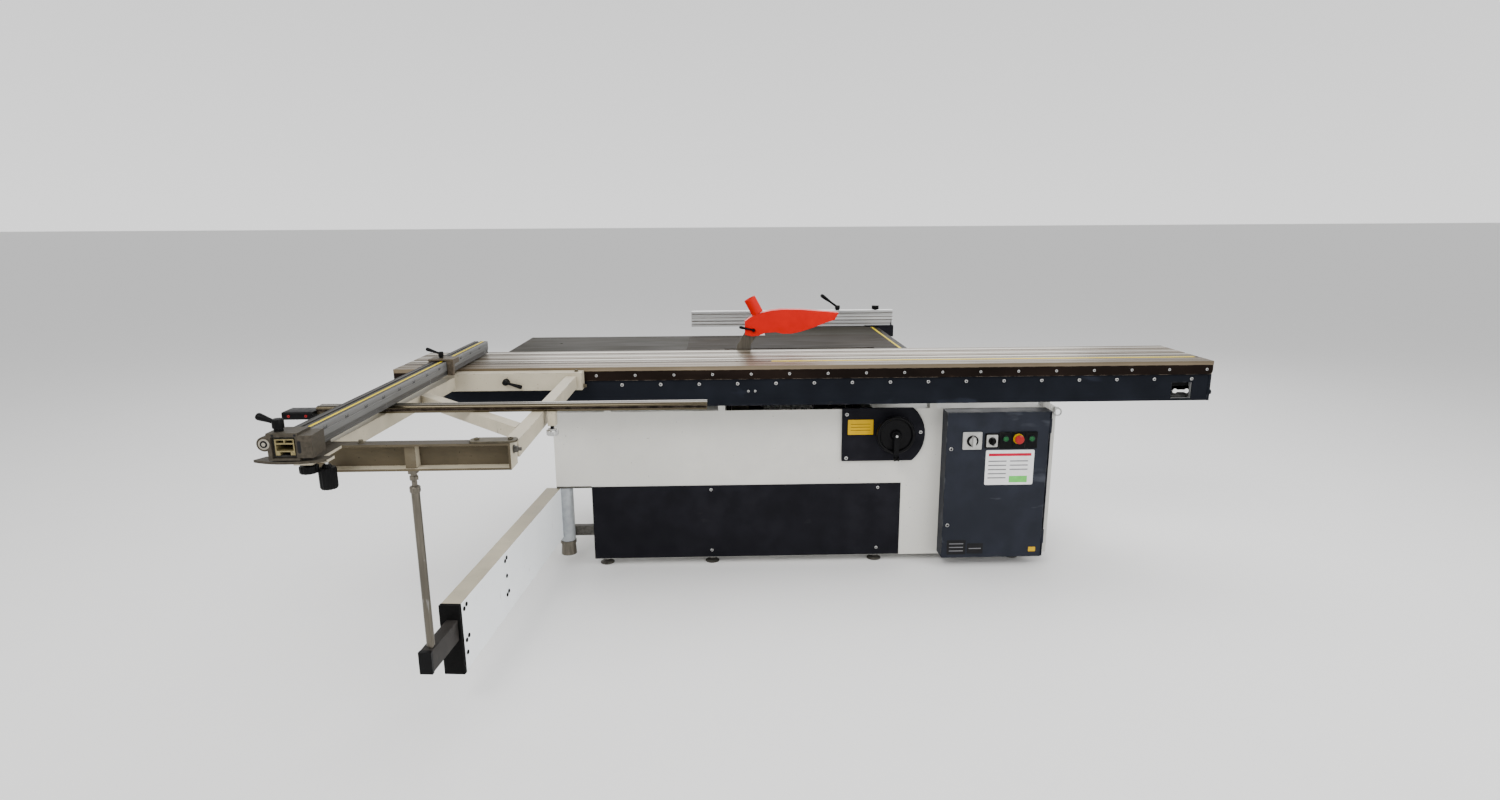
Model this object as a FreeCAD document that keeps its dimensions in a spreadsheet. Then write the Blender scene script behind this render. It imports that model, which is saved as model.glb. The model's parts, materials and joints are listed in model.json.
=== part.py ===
import FreeCAD, Part
import Sketcher
import math
import os
import re

# Panel saw with sliding table. X runs along the sliding table, Y across it towards the rip fence, Z up.
# All lengths in millimetres. Every size lives in SIZES and goes into the sheet as an aliased cell.

SIZES = {
    # frame of reference and floor
    "centre_x": -28.0, "centre_y": 8.0, "table_top": 900.0, "gap": 0.5, "wall": 6.0, "skin": 3.0,
    # chassis
    "body_left": -1042.0, "foot_left": -895.0, "body_right": 1057.0, "body_front": 170.0,
    "body_rear": 950.0, "body_floor": 34.0, "body_waist": 362.0, "body_top": 682.0,
    "well_left": -325.0, "well_right": 290.0, "well_rear": 760.0, "riser_left": -480.0,
    "riser_right": 425.0, "riser_near": 560.0, "riser_far": 840.0, "table_under": 868.0,
    "window_inset": 30.0,
    # lower front cover and its screws
    "cover_right": 413.0, "cover_low": 36.0, "cover_high": 359.0, "screw_left": -393.0,
    "screw_right": 315.0, "screw_low": 68.0, "screw_high": 340.0, "screw_head": 7.0, "screw_rise": 3.0,
    # feet
    "foot_stud": 8.0, "foot_pad": 30.0, "foot_pad_high": 10.0, "foot_inset": 45.0,
    # electrical cabinet and door
    "box_left": 580.0, "box_right": 1013.0, "box_front": 99.0, "door_front": 93.0, "box_low": 47.0,
    "box_high": 680.0, "door_pin": 5.0, "lock_x": 600.0, "lock_low": 193.0,
    "lock_high": 526.0, "lock_head": 8.0,
    # switches
    "plate_left": 646.0, "plate_right": 725.0, "plate_low": 524.0, "plate_high": 598.0,
    "plate_thick": 6.0, "dial_head": 24.0, "dial_deep": 14.0, "grip_wide": 9.0, "grip_deep": 14.0,
    "selector_left": 738.0, "selector_right": 796.0, "selector_low": 528.0, "selector_high": 592.0,
    "selector_head": 15.0, "strip_left": 797.5, "strip_right": 954.0, "strip_low": 526.0,
    "strip_high": 597.0, "strip_thick": 8.0, "green_x": 822.0, "stop_x": 874.0, "second_x": 930.0,
    "button_z": 569.0, "button_r": 11.0, "button_deep": 9.0, "button_hole": 11.6, "stop_r": 19.0,
    "stop_stem": 8.0, "stop_stem_hole": 8.6, "stop_ring": 24.0, "stop_cap": 8.0,
    # handwheel
    "hub_cover_left": 157.0, "hub_cover_low": 460.0, "hub_cover_high": 688.0, "hub_cover_front": 158.0,
    "hub_cover_arc": 150.0, "wheel_x": 374.0, "wheel_z": 583.0, "wheel_r": 80.0, "wheel_rim": 8.0,
    "wheel_front": 122.0, "wheel_back": 146.0, "shaft_r": 12.0, "shaft_play": 0.3, "shaft_rear": 300.0,
    "crank_wide": 20.0, "crank_long": 96.0, "crank_front": 110.0, "grip_r": 8.5, "grip_long": 60.0,
    "pin_r": 3.0, "fold_y": 101.0, "fold_z": 488.0, "fork_r": 9.0, "fork_thick": 4.0,
    "tongue_wide": 11.0, "plate_screw_left": 176.0, "plate_screw_low": 474.0, "plate_screw_high": 662.0,
    "plate_screw_right": 487.0,
    # tables
    "main_left": -497.0, "main_right": 437.0, "main_near": 405.0, "main_far": 848.0, "main_thick": 12.0,
    "rib_thick": 12.0, "outfeed_left": -1267.0, "outfeed_deep": 35.0, "sheet_thick": 4.0,
    "side_left": -121.0, "side_far": 1190.0, "slot_left": -330.0, "slot_right": 330.0,
    "slot_far": 452.0, "insert_near": 429.0, "insert_thick": 5.0, "table_hole_x": -1085.0,
    "table_hole_y": 640.0, "table_hole_r": 6.0,
    # rail and rip fence
    "rail_right": 479.0, "rail_near": 403.0, "rail_far": 1230.0, "rail_low": 858.0,
    "rail_high": 896.0, "fence_left": -506.0, "fence_right": 558.0, "fence_toe": 544.0,
    "fence_near": 1150.0, "fence_far": 1196.0, "fence_low": 906.0, "fence_high": 986.0,
    "carrier_left": 412.0, "carrier_right": 561.0, "carrier_near": 1140.0, "carrier_far": 1215.0,
    "carrier_low": 846.0, "fence_hub_x": 266.0, "fence_hub_r": 13.0, "fence_hub_high": 24.0,
    "fence_lever_long": 112.0, "fence_lever_tilt": 53.0, "fence_knob_x": 467.0, "fence_knob_r": 19.0,
    "fence_knob_high": 22.0,
    # fixed beam
    "beam_left": -1470.0, "beam_right": 1590.0, "beam_near": 14.0, "beam_low": 740.0,
    "beam_high": 846.0, "beam_foot": 225.0, "beam_back": 331.0, "trough_near": 60.0,
    "trough_far": 280.0, "trough_low": 806.0, "void_low": 752.0, "void_high": 794.0,
    "void_near": 28.0, "void_mid_near": 108.0, "void_mid_far": 122.0, "void_far": 200.0,
    "rail_one": 100.0, "rail_two": 240.0, "rail_bar": 6.0, "cover_face": 8.0, "beam_screw_z": 828.0,
    "screw_pitch": 150.0, "beam_screw_last": 1522.0, "carriage_screw_last": 1575.0,
    "bracket_wide": 29.0, "bracket_a": -830.0, "bracket_b": -358.0,
    "bracket_c": 524.0, "bracket_d": 1000.0, "bracket_far": 222.0, "cap_right": 1600.0, "cap_near": 6.0,
    "recess_left": 1445.0, "recess_right": 1527.0, "recess_low": 748.0, "recess_high": 814.0,
    "latch_x": 1502.0, "latch_z": 781.0, "latch_r": 9.0, "latch_long": 46.0, "latch_front": 0.0,
    "stop_low": 771.0, "stop_r_bolt": 10.0, "stop_reach": 1612.0, "hook_x": 1062.0, "hook_z": 676.0,
    "hook_ring": 15.0, "hook_wire": 3.0,
    # roller carriage
    "roller_r": 9.0, "roller_wide": 30.0, "axle_r": 3.0, "axle_hole": 3.1, "roller_step": 220.0,
    "cage_near": 120.0, "cage_far": 220.0, "cage_low": 822.0, "cage_high": 832.0, "cage_half": 800.0,
    # sliding table
    "slide_left": -1600.0, "slide_right": 1600.0, "slide_far": 402.0, "lip_low": 885.0,
    "strip_face": 6.0, "slide_low": 846.4, "slide_under_far": 340.0, "slide_edge_low": 893.0,
    "groove_near": 196.0, "groove_far": 208.0, "groove_low": 886.0, "hollow_low": 856.0,
    "hollow_high": 880.0, "hollow_near": 22.0, "hollow_a": 180.0, "hollow_b": 190.0,
    "hollow_c": 330.0, "slide_bar_low": 836.7, "cover_radius": 16.0, "carriage_screw_z": 867.0,
    # outrigger
    "inner_left": -1394.0, "inner_right": -871.0, "inner_near": -55.0, "inner_far": -2.5,
    "inner_low": 822.0, "frame_top": 890.0, "near_left": -1414.0, "near_right": -880.0,
    "near_front": -1050.0, "near_back": -1010.0, "near_low": 818.0, "stiff_left": -1155.0,
    "stiff_right": -1127.0, "tube_wide": 40.0, "tube_low": 830.0, "tube_high": 878.0,
    "tube_wall": 4.0, "tube_long": 953.0, "right_tube_x": -931.0, "right_tube_turn": 0.8,
    "left_tube_x": -1388.0, "left_tube_turn": 1.5, "brace_long": 662.0, "brace_turn": 43.6,
    "brace_x": -1370.0, "brace_y": -366.0, "brace_low": 840.0, "near_wide": 300.0, "wear_left": -990.0,
    "wear_right": -866.0, "wear_near": -1048.0, "wear_far": -1004.0, "wear_thick": 5.0,
    "lever_x": -1156.0, "lever_z": 857.0, "lever_hub": 11.0, "lever_hub_long": 26.0,
    "lever_long": 62.0, "lever_r": 6.0, "lever_drop": -20.0,
    # support bar
    "bar_left": -1575.0, "bar_right": -380.0, "bar_near": -645.0, "bar_far": -597.0,
    "bar_low": 878.0, "bar_high": 902.0, "bar_slot": 5.0, "block_left": -1668.0,
    "block_near": -668.0, "clamp_x": -858.0, "clamp_y": -652.0, "clamp_low": 806.0,
    # support leg
    "leg_x": -1141.0, "leg_y": -1033.0, "leg_low": 306.0, "leg_high": 755.0, "leg_r": 11.0,
    "leg_collar": 14.0, "leg_collar_high": 17.0, "leg_rod": 7.0, "leg_top": 817.7,
    # mitre fence
    "mitre_left": -1394.0, "mitre_right": -1337.0, "mitre_near": -1205.0, "mitre_far": 352.0,
    "mitre_low": 905.0, "mitre_high": 956.0, "mitre_wall": 5.0,
    "scale_thick": 0.8,
    "pivot_x": -1366.0, "pivot_y": -1030.0, "pivot_r": 18.0, "casting_near": -1213.0,
    "casting_far": -1148.0, "casting_left": -1404.0, "casting_right": -1331.0, "casting_low": 899.0,
    "casting_high": 966.0, "wing_right": -1298.0, "wing_far": -1303.0, "ear_x": -1410.0,
    "ear_z": 940.0, "ear_r": 18.0, "arc_outer": 184.0, "arc_inner": 150.0, "arc_low": 889.5,
    "arc_high": 896.0, "arc_half": 28.0, "extension_long": 1050.0, "extension_skin": 3.0,
    "hub_x": -1384.0, "hub_y": -1190.0, "hub_high": 30.0, "hub_r": 13.0, "handle_long": 72.0,
    "handle_r": 6.5, "handle_rise": 22.0, "stop_near": -165.0, "stop_far": -95.0,
    "stop_skin": 8.0, "stop_wing": 24.0, "stop_hub_y": -130.0, "stop_hub_r": 9.0,
    "stop_hub_high": 30.0, "stop_handle": 55.0, "stop_handle_r": 5.0,
    "knob_one_x": -1331.0, "knob_two_x": -1297.0, "knob_one_y": -1178.0, "knob_two_y": -1160.0,
    "knob_one_low": 858.0, "knob_two_low": 812.0, "knob_one_high": 875.0, "knob_two_high": 856.0,
    "knob_one_r": 22.0, "knob_two_r": 21.0, "knob_stud": 5.0, "knob_arm_low": 883.0,
    "knob_arm_near": -1200.0,
    # swing arm
    "post_x": -1013.0, "post_y": 212.0, "post_r": 31.0, "post_bore": 20.1, "pin_main": 20.0,
    "post_low": 110.0, "post_high": 349.0, "arm_turn": 4.4, "arm_left": -74.0, "arm_near": -1082.0,
    "arm_far": -25.0, "arm_low": 130.0, "arm_high": 350.0, "arm_wall": 5.0, "arm_cap": 16.0,
    "inner_arm_low": 240.0, "inner_arm_high": 305.0, "inner_arm_long": 1080.0,
    "inner_arm_near": -1268.0, "arm_right": -14.0, "inner_arm_left": -56.0, "inner_arm_right": -22.0,
    "collar_r": 33.0, "collar_low": 47.0,
    "collar_high": 96.0, "lug_low": 97.0, "lug_high": 109.0, "lug_r": 34.0, "lug_top_low": 351.0,
    "bar_front": 247.0, "bar_deep": 26.0,
    "bar_bottom": 112.0, "bar_upper": 155.0,
    # blade unit
    "blade_y": 422.0, "blade_x": -50.0, "blade_r": 157.0, "blade_thick": 3.0, "blade_drop": 161.0,
    "flange_r": 25.0, "flange_thick": 6.0, "arbor_r": 12.0, "arbor_long": 150.0, "house_r": 30.0,
    "house_bore": 12.1, "house_near": 12.0, "house_far": 120.0, "plate_in_left": -312.0,
    "plate_in_right": 238.0, "plate_in_thick": 8.0, "frame_near": 40.0, "frame_far": 130.0,
    "frame_low": 360.0, "frame_high": 70.0, "column_r": 11.0, "column_bore": 11.1,
    "column_one": -150.0, "column_two": 100.0, "column_y": 95.0, "block_low": 345.0, "block_high": 178.0,
    "scoring_x": 170.0, "scoring_r": 60.0,
    "scoring_drop": 75.0, "hanger_left": -322.0, "hanger_right": 240.0, "knife_thick": 2.6,
    "motor_r": 75.0, "motor_long": 170.0, "motor_y": 160.0, "motor_x": 120.0, "motor_drop": 255.0,
    "pulley_r": 27.0, "pulley_motor": 45.0, "pulley_wide": 22.0,
    "guard_half": 24.0, "guard_skin": 3.0, "guard_pin_x": -205.0, "guard_pin_z": 988.0,
    "guard_pin_r": 5.0, "port_r": 26.0, "port_long": 74.0, "port_turn": 28.0, "port_x": -184.0,
    "port_z": 1056.0, "guard_lever_long": 62.0, "guard_lever_r": 5.0,
    # rear
    "trunnion_out": 249.0, "trunnion_in": 232.0, "shoe_r": 8.0, "shoe_across": 85.0,
    "shoe_down": 225.0, "pulley_y": 124.0, "knife_left": -298.0, "guard_lever_turn": 77.0,
    "main_plate_under": 888.0, "duct_x": 250.0, "duct_z": 250.0, "duct_r": 60.0, "duct_long": 60.0,
    "gland_x": 900.0, "gland_z": 560.0, "gland_r": 14.0, "gland_long": 40.0,
}

doc = FreeCAD.newDocument("panel_saw")
sheet = doc.addObject("Spreadsheet::Sheet", "sheet")
for row, (alias, size) in enumerate(SIZES.items(), start=1):
    sheet.set("A%d" % row, alias)
    sheet.set("B%d" % row, str(size))
    sheet.setAlias("B%d" % row, alias)
doc.recompute()

NODES = []


def number(text):
    """Value of a sum of signed terms such as "body_left + wall/2"."""
    total = 0.0
    sign = 1.0
    for word in str(text).split():
        if word in ("+", "-"):
            sign = 1.0 if word == "+" else -1.0
            continue
        product = 1.0
        for mark, item in re.findall(r"([*/]?)([^*/]+)", word):
            size = SIZES[item] if item in SIZES else float(item)
            product = product / size if mark == "/" else product * size
        total += sign * product
        sign = 1.0
    return total


def formula(text):
    """The same sum written for the expression engine."""
    return re.sub(r"[a-z_]{2,}", lambda found: "sheet." + found.group(0), str(text))


def bind(item, prop, text):
    item.setExpression(prop, formula(text))


def move(item, x, y, z):
    for axis, text in zip("xyz", (x, y, z)):
        bind(item, "Placement.Base." + axis, text)
    return item


def turned(item, axis, angle):
    """Turn an item about its own origin; the angle is an expression in degrees."""
    item.Placement.Rotation = FreeCAD.Rotation(FreeCAD.Vector(*axis), number(angle))
    bind(item, "Placement.Rotation.Angle", angle)
    return item


def slab(name, x, y, z):
    """Box between three pairs of expressions."""
    block = doc.addObject("Part::Box", name)
    for prop, (low, high) in zip(("Length", "Width", "Height"), (x, y, z)):
        bind(block, prop, minus(high, low))
    return move(block, x[0], y[0], z[0])


def minus(high, low):
    flipped = " ".join({"+": "-", "-": "+"}.get(word, word) for word in str(low).split())
    if flipped.startswith("+ "):
        return "%s %s" % (high, flipped)
    return "%s - %s" % (high, flipped)


def rod(name, radius, length, x, y, z, axis="z", thin=None):
    """Cylinder, or a cone when thin names the far radius, pointing along +axis."""
    kind = "Part::Cone" if thin else "Part::Cylinder"
    bar = doc.addObject(kind, name)
    if thin:
        bind(bar, "Radius1", radius)
        bind(bar, "Radius2", thin)
    else:
        bind(bar, "Radius", radius)
    bind(bar, "Height", length)
    turns = {"z": ((0, 0, 1), 0), "x": ((0, 1, 0), 90), "y": ((1, 0, 0), -90)}
    bar.Placement.Rotation = FreeCAD.Rotation(FreeCAD.Vector(*turns[axis][0]), turns[axis][1])
    return move(bar, x, y, z)


def fuse(name, items):
    joined = doc.addObject("Part::MultiFuse", name)
    joined.Shapes = items
    return joined


def cut(name, base, tools):
    result = doc.addObject("Part::Cut", name)
    result.Base = base
    result.Tool = tools[0] if len(tools) == 1 else fuse(name + "_tools", tools)
    return result


def group(name, items):
    bundle = doc.addObject("Part::Compound", name)
    bundle.Links = items
    return bundle


PLANES = {"xy": "XY_Plane", "xz": "XZ_Plane", "yz": "YZ_Plane"}


def prism(name, plane, points, length, offset):
    """PartDesign body: a closed polygon on an origin plane, padded along the plane's normal."""
    body = doc.addObject("PartDesign::Body", name)
    doc.recompute()
    sketch = body.newObject("Sketcher::SketchObject", name + "_sketch")
    support = [item for item in body.Origin.OriginFeatures if item.Role == PLANES[plane]][0]
    sketch.AttachmentSupport = [(support, "")]
    sketch.MapMode = "FlatFace"
    bind(sketch, "AttachmentOffset.Base.z", offset)
    corners = [FreeCAD.Vector(number(across), number(up), 0) for across, up in points]
    for start, end in zip(corners, corners[1:] + corners[:1]):
        sketch.addGeometry(Part.LineSegment(start, end), False)
    for index, (across, up) in enumerate(points):
        follower = (index - 1) % len(points)
        sketch.addConstraint(Sketcher.Constraint("Coincident", follower, 2, index, 1))
        for kind, text in (("DistanceX", across), ("DistanceY", up)):
            tag = sketch.addConstraint(Sketcher.Constraint(kind, index, 1, number(text)))
            bind(sketch, "Constraints[%d]" % tag, text)
    pad = body.newObject("PartDesign::Pad", name + "_pad")
    pad.Profile = sketch
    bind(pad, "Length", length)
    body.Tip = pad
    return body


def node(label, item, at=("0", "0", "0"), turn=None):
    """Name a finished sub-part and put it in the shared frame; turn is clockwise seen from above."""
    if item.isDerivedFrom("Part::Primitive"):
        item = group(label + "_part", [item])
    item.Label = label
    if turn:
        turned(item, (0, 0, -1), turn)
    move(item, at[0] + " - centre_x", at[1] + " - centre_y", at[2])
    NODES.append((label, item))


def offset(base, distance):
    """Expression for a plain distance either side of a named size."""
    return "%s %s %g" % (base, "-" if distance < 0 else "+", abs(distance))


def signed(base, size, factor):
    """Expression for base plus size times a factor of either sign."""
    return "%s %s %s*%.5f" % (base, "-" if factor < 0 else "+", size, abs(factor))


def band(across, up, radii, start, stop, parts):
    """Closed outline of a circular band: out along the first radius, back along the second."""
    angles = [math.radians(start + (stop - start) * step / parts) for step in range(parts + 1)]
    spots = []
    for radius, order in zip(radii, (angles, angles[::-1])):
        spots += [(signed(across, radius, math.cos(angle)), signed(up, radius, math.sin(angle)))
                  for angle in order]
    return spots


def screws(label, spots, radius, face, rise):
    """Round heads with a socket, facing -Y, one separate solid each."""
    heads = []
    for index, (x, z) in enumerate(spots):
        head = rod("%s_head_%d" % (label, index), radius, rise, x, "%s - %s" % (face, rise), z, "y")
        socket = rod("%s_socket_%d" % (label, index), "%s/2" % radius, "%s/2" % rise, x,
                     "%s - %s" % (face, rise), z, "y")
        heads.append(cut("%s_%d" % (label, index), head, [socket]))
    return heads


# ---------------------------------------------------------------- chassis
lower = slab("lower_hull", ("foot_left", "body_right"), ("body_front", "body_rear"),
             ("body_floor", "body_waist"))
upper = slab("upper_hull", ("body_left", "body_right"), ("body_front", "body_rear"),
             ("body_waist", "body_top"))
riser = slab("riser_hull", ("riser_left", "riser_right"), ("riser_near", "riser_far"),
             ("body_top", "table_under"))
hollows = [
    slab("lower_room", ("foot_left + wall", "body_right - wall"), ("body_front + wall", "body_rear - wall"),
         ("body_floor + wall", "body_waist + wall")),
    slab("upper_room", ("body_left + wall", "body_right - wall"),
         ("body_front + wall", "body_rear - wall"), ("body_waist + wall", "body_top - wall")),
    slab("well", ("well_left", "well_right"), ("body_front + wall", "well_rear"),
         ("body_top - wall*2", "body_top + wall")),
    slab("riser_room", ("riser_left + wall", "riser_right - wall"),
         ("riser_near - wall", "riser_far - wall"), ("body_top - wall*2", "table_under + wall")),
    slab("front_window", ("foot_left + window_inset", "cover_right - window_inset"),
         ("body_front - wall", "body_front + wall*2"),
         ("cover_low + window_inset", "cover_high - window_inset")),
    rod("shaft_hole", "shaft_r + shaft_play", "wall*4", "wheel_x", "body_front - wall", "wheel_z", "y"),
    rod("duct_hole", "duct_r - wall/2", "wall*4", "duct_x", "body_rear - wall*2", "duct_z", "y"),
]
chassis = cut("chassis", fuse("chassis_hull", [lower, upper, riser]), hollows)

node("lower_cover", slab("lower_cover_sheet", ("foot_left", "cover_right"),
                         ("body_front - skin", "body_front"), ("cover_low", "cover_high")))
cover_heads = screws("lower_screw", [(x, z) for x in ("screw_left", "screw_right")
                                     for z in ("screw_low", "screw_high")],
                     "screw_head", "body_front - skin", "screw_rise")

feet = []
foot_spots = [("foot_left + foot_inset", "body_front + foot_inset"), ("screw_left",
                                                                      "body_front + foot_inset"),
              ("screw_right", "body_front + foot_inset"), ("body_right - foot_inset*3",
                                                           "body_front + foot_inset"),
              ("foot_left + foot_inset", "body_rear - foot_inset"), ("screw_left", "body_rear - foot_inset"),
              ("screw_right", "body_rear - foot_inset"), ("body_right - foot_inset*3",
                                                          "body_rear - foot_inset")]
for index, (x, y) in enumerate(foot_spots):
    stud = rod("foot_stud_%d" % index, "foot_stud", "body_floor - foot_pad_high", x, y, "foot_pad_high")
    pad = rod("foot_pad_%d" % index, "foot_pad", "foot_pad_high", x, y, "0", thin="foot_stud*2")
    feet.append(fuse("foot_%d" % index, [stud, pad]))
node("levelling_feet", group("foot_set", feet))

duct = cut("duct_ring", rod("duct_tube", "duct_r", "duct_long", "duct_x", "body_rear", "duct_z", "y"),
           [rod("duct_bore", "duct_r - skin", "duct_long + wall*2", "duct_x", "body_rear - wall", "duct_z",
                "y")])
gland = cut("gland_ring", rod("gland_tube", "gland_r", "gland_long", "gland_x", "body_rear", "gland_z", "y"),
            [rod("gland_bore", "gland_r/2", "gland_long", "gland_x", "body_rear + skin", "gland_z", "y")])

# ---------------------------------------------------------------- cabinet
shell = slab("cabinet_shell", ("box_left", "box_right"), ("box_front", "body_front"), ("box_low", "box_high"))
room = slab("cabinet_room", ("box_left + skin", "box_right - skin"), ("box_front - skin",
                                                                      "body_front - skin"),
            ("box_low + skin", "box_high - skin"))
cabinet = cut("cabinet", shell, [room])

door = slab("door_sheet", ("box_left", "box_right - door_pin*2"),
            ("door_front", "door_front + skin"), ("box_low", "box_high"))
door_tools = [
    rod("main_bore", "dial_head/2", "wall*2", "plate_left/2 + plate_right/2", "door_front - skin",
        "plate_low/2 + plate_high/2", "y"),
    rod("green_bore", "button_hole", "wall*2", "green_x", "door_front - skin", "button_z", "y"),
    rod("second_bore", "button_hole", "wall*2", "second_x", "door_front - skin", "button_z", "y"),
    rod("stop_bore", "stop_stem_hole", "wall*2", "stop_x", "door_front - skin", "button_z", "y"),
]
node("cabinet_door", cut("door", door, door_tools))
hinges = []
for index, z in enumerate(("box_low + foot_pad*2", "box_high - foot_pad*3")):
    hinges.append(rod("hinge_pin_%d" % index, "door_pin", "foot_pad*2",
                      "box_right - door_pin + gap", "door_front + skin/2", z))
node("cabinet_box", fuse("cabinet_hinged", [cabinet] + hinges))
door_locks = screws("door_lock", [("lock_x", "lock_low"), ("lock_x", "lock_high")], "lock_head", "door_front",
                    "screw_rise")

switch_plate = cut("main_plate_cut", slab(
    "main_plate", ("plate_left", "plate_right"), ("door_front - plate_thick", "door_front"),
    ("plate_low", "plate_high")), [rod("main_plate_bore", "dial_head/2", "wall*2",
                                       "plate_left/2 + plate_right/2", "door_front - wall*1.5",
                                       "plate_low/2 + plate_high/2", "y")])
dial = rod("main_dial", "dial_head", "dial_deep", "plate_left/2 + plate_right/2",
           "door_front - plate_thick - gap - dial_deep", "plate_low/2 + plate_high/2", "y")
dial_grip = slab("main_grip", ("plate_left/2 + plate_right/2 - grip_wide/2",
                               "plate_left/2 + plate_right/2 + grip_wide/2"),
                 ("door_front - plate_thick - gap - dial_deep - grip_deep",
                  "door_front - plate_thick - gap - dial_deep/2"),
                 ("plate_low/2 + plate_high/2 - dial_head", "plate_low/2 + plate_high/2 + dial_head"))
dial_stem = rod("main_stem", "dial_head/2 - gap", "plate_thick + skin", "plate_left/2 + plate_right/2",
                "door_front - plate_thick - gap - wall/2", "plate_low/2 + plate_high/2", "y")
node("main_switch_knob", fuse("main_knob", [dial, dial_grip, dial_stem]))
selector_plate = slab("selector_sheet", ("selector_left", "selector_right"),
                      ("door_front - plate_thick", "door_front"), ("selector_low", "selector_high"))
node("door_fittings", group("door_fitting_set", door_locks + [switch_plate, selector_plate]))
turn_head = rod("selector_head_disc", "selector_head", "dial_deep/2", "selector_left/2 + selector_right/2",
                "door_front - plate_thick - gap - dial_deep/2", "selector_low/2 + selector_high/2", "y")
turn_grip = slab("selector_grip", ("selector_left/2 + selector_right/2 - grip_wide/2",
                                   "selector_left/2 + selector_right/2 + grip_wide/2"),
                 ("door_front - plate_thick - gap - dial_deep - skin",
                  "door_front - plate_thick - gap - skin"),
                 ("selector_low/2 + selector_high/2 - selector_head",
                  "selector_low/2 + selector_high/2 + selector_head"))
node("selector_knob", fuse("selector", [turn_head, turn_grip]))

strip = slab("button_strip", ("strip_left", "strip_right"), ("door_front - strip_thick", "door_front"),
             ("strip_low", "strip_high"))
ring = rod("stop_ring_disc", "stop_ring", "screw_rise", "stop_x",
           "door_front - strip_thick - screw_rise", "button_z", "y")
strip_bores = [
    rod("strip_bore_green", "button_hole", "strip_thick*3", "green_x", "door_front - strip_thick*2",
        "button_z", "y"),
    rod("strip_bore_second", "button_hole", "strip_thick*3", "second_x", "door_front - strip_thick*2",
        "button_z", "y"),
    rod("strip_bore_stop", "stop_stem_hole", "strip_thick*3", "stop_x", "door_front - strip_thick*2",
        "button_z", "y"),
]
node("button_panel", cut("button_panel_cut", fuse("button_panel_hull", [strip, ring]), strip_bores))
for label, x in (("start_button", "green_x"), ("run_button", "second_x")):
    node(label, rod(label + "_cap", "button_r", "button_deep + strip_thick", x,
                    "door_front - strip_thick - button_deep/2 - gap", "button_z", "y"))
stem = rod("stop_stem_rod", "stop_stem", "strip_thick + stop_cap*2 + gap", "stop_x",
           "door_front - strip_thick - stop_cap*2", "button_z", "y")
cap = rod("stop_cap_disc", "stop_r", "stop_cap", "stop_x", "door_front - strip_thick - stop_cap*2.5",
          "button_z", "y")
node("stop_button", fuse("stop_mushroom", [stem, cap]))

# ---------------------------------------------------------------- handwheel
cover_half = math.degrees(math.asin(
    (SIZES["hub_cover_high"] - SIZES["hub_cover_low"]) / 2 / SIZES["hub_cover_arc"]))
cover_rim = band("wheel_x - wall*3", "hub_cover_low/2 + hub_cover_high/2", ("hub_cover_arc",),
                 -cover_half, cover_half, 12)
arc_points = [("hub_cover_left", "hub_cover_low")] + cover_rim + [("hub_cover_left", "hub_cover_high")]
cover = prism("handwheel_plate", "xz", arc_points, "body_front - hub_cover_front", "- body_front")
node("handwheel_cover", cut("handwheel_plate_cut", cover, [
    rod("plate_shaft_hole", "shaft_r + shaft_play", "wall*6", "wheel_x", "hub_cover_front - wall*2",
        "wheel_z", "y")]))
plate_heads = screws("plate_screw", [("plate_screw_left", "plate_screw_low"),
                                     ("plate_screw_left", "plate_screw_high"), ("plate_screw_right",
                                                                                "wheel_z")],
                     "lock_head", "hub_cover_front", "screw_rise")

rim = cut("wheel_dish", rod("wheel_disc", "wheel_r", "wheel_back - wheel_front", "wheel_x", "wheel_front",
                            "wheel_z", "y"),
          [rod("wheel_hollow", "wheel_r - wheel_rim", "wheel_back - wheel_front - wheel_rim", "wheel_x",
               "wheel_front - skin", "wheel_z", "y")])
hub = rod("wheel_hub", "shaft_r*2", "wheel_back - crank_front - skin", "wheel_x", "crank_front + skin",
          "wheel_z", "y")
shaft = rod("wheel_shaft", "shaft_r", "shaft_rear - wheel_back + skin", "wheel_x", "wheel_back - skin",
            "wheel_z", "y")
arm = slab("wheel_crank", ("wheel_x - crank_wide/2", "wheel_x + crank_wide/2"),
           ("crank_front", "crank_front + wheel_rim"), ("wheel_z - crank_long", "wheel_z + crank_wide/2"))
fork = [arm, rod("crank_pin", "pin_r", "crank_wide", "wheel_x - crank_wide/2", "fold_y", "fold_z", "x")]
for side, x in (("left", "wheel_x - crank_wide/2"), ("right", "wheel_x + crank_wide/2 - fork_thick")):
    fork.append(rod("fork_cheek_" + side, "fork_r", "fork_thick", x, "fold_y", "fold_z", "x"))
    fork.append(slab("fork_root_" + side, (x, x + " + fork_thick"), ("fold_y", "crank_front + skin"),
                     ("fold_z - fork_r", "fold_z + fork_r")))
node("handwheel", fuse("wheel_set", [rim, hub, shaft] + fork))
tongue = [
    rod("grip_eye", "grip_r", "tongue_wide", "wheel_x - tongue_wide/2", "fold_y", "fold_z", "x"),
    slab("grip_neck", ("wheel_x - tongue_wide/2", "wheel_x + tongue_wide/2"),
         ("fold_y - grip_r*0.8", "fold_y + grip_r*0.8"), ("fold_z", "fold_z + fork_r + wall/2")),
    rod("grip_sleeve", "grip_r", "grip_long", "wheel_x", "fold_y", "fold_z + fork_r + gap*2"),
]
node("crank_grip", cut("grip_bored", fuse("grip_hull", tongue), [
    rod("grip_bore", "pin_r + shaft_play/3", "crank_wide", "wheel_x - crank_wide/2", "fold_y", "fold_z",
        "x")]))

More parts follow.
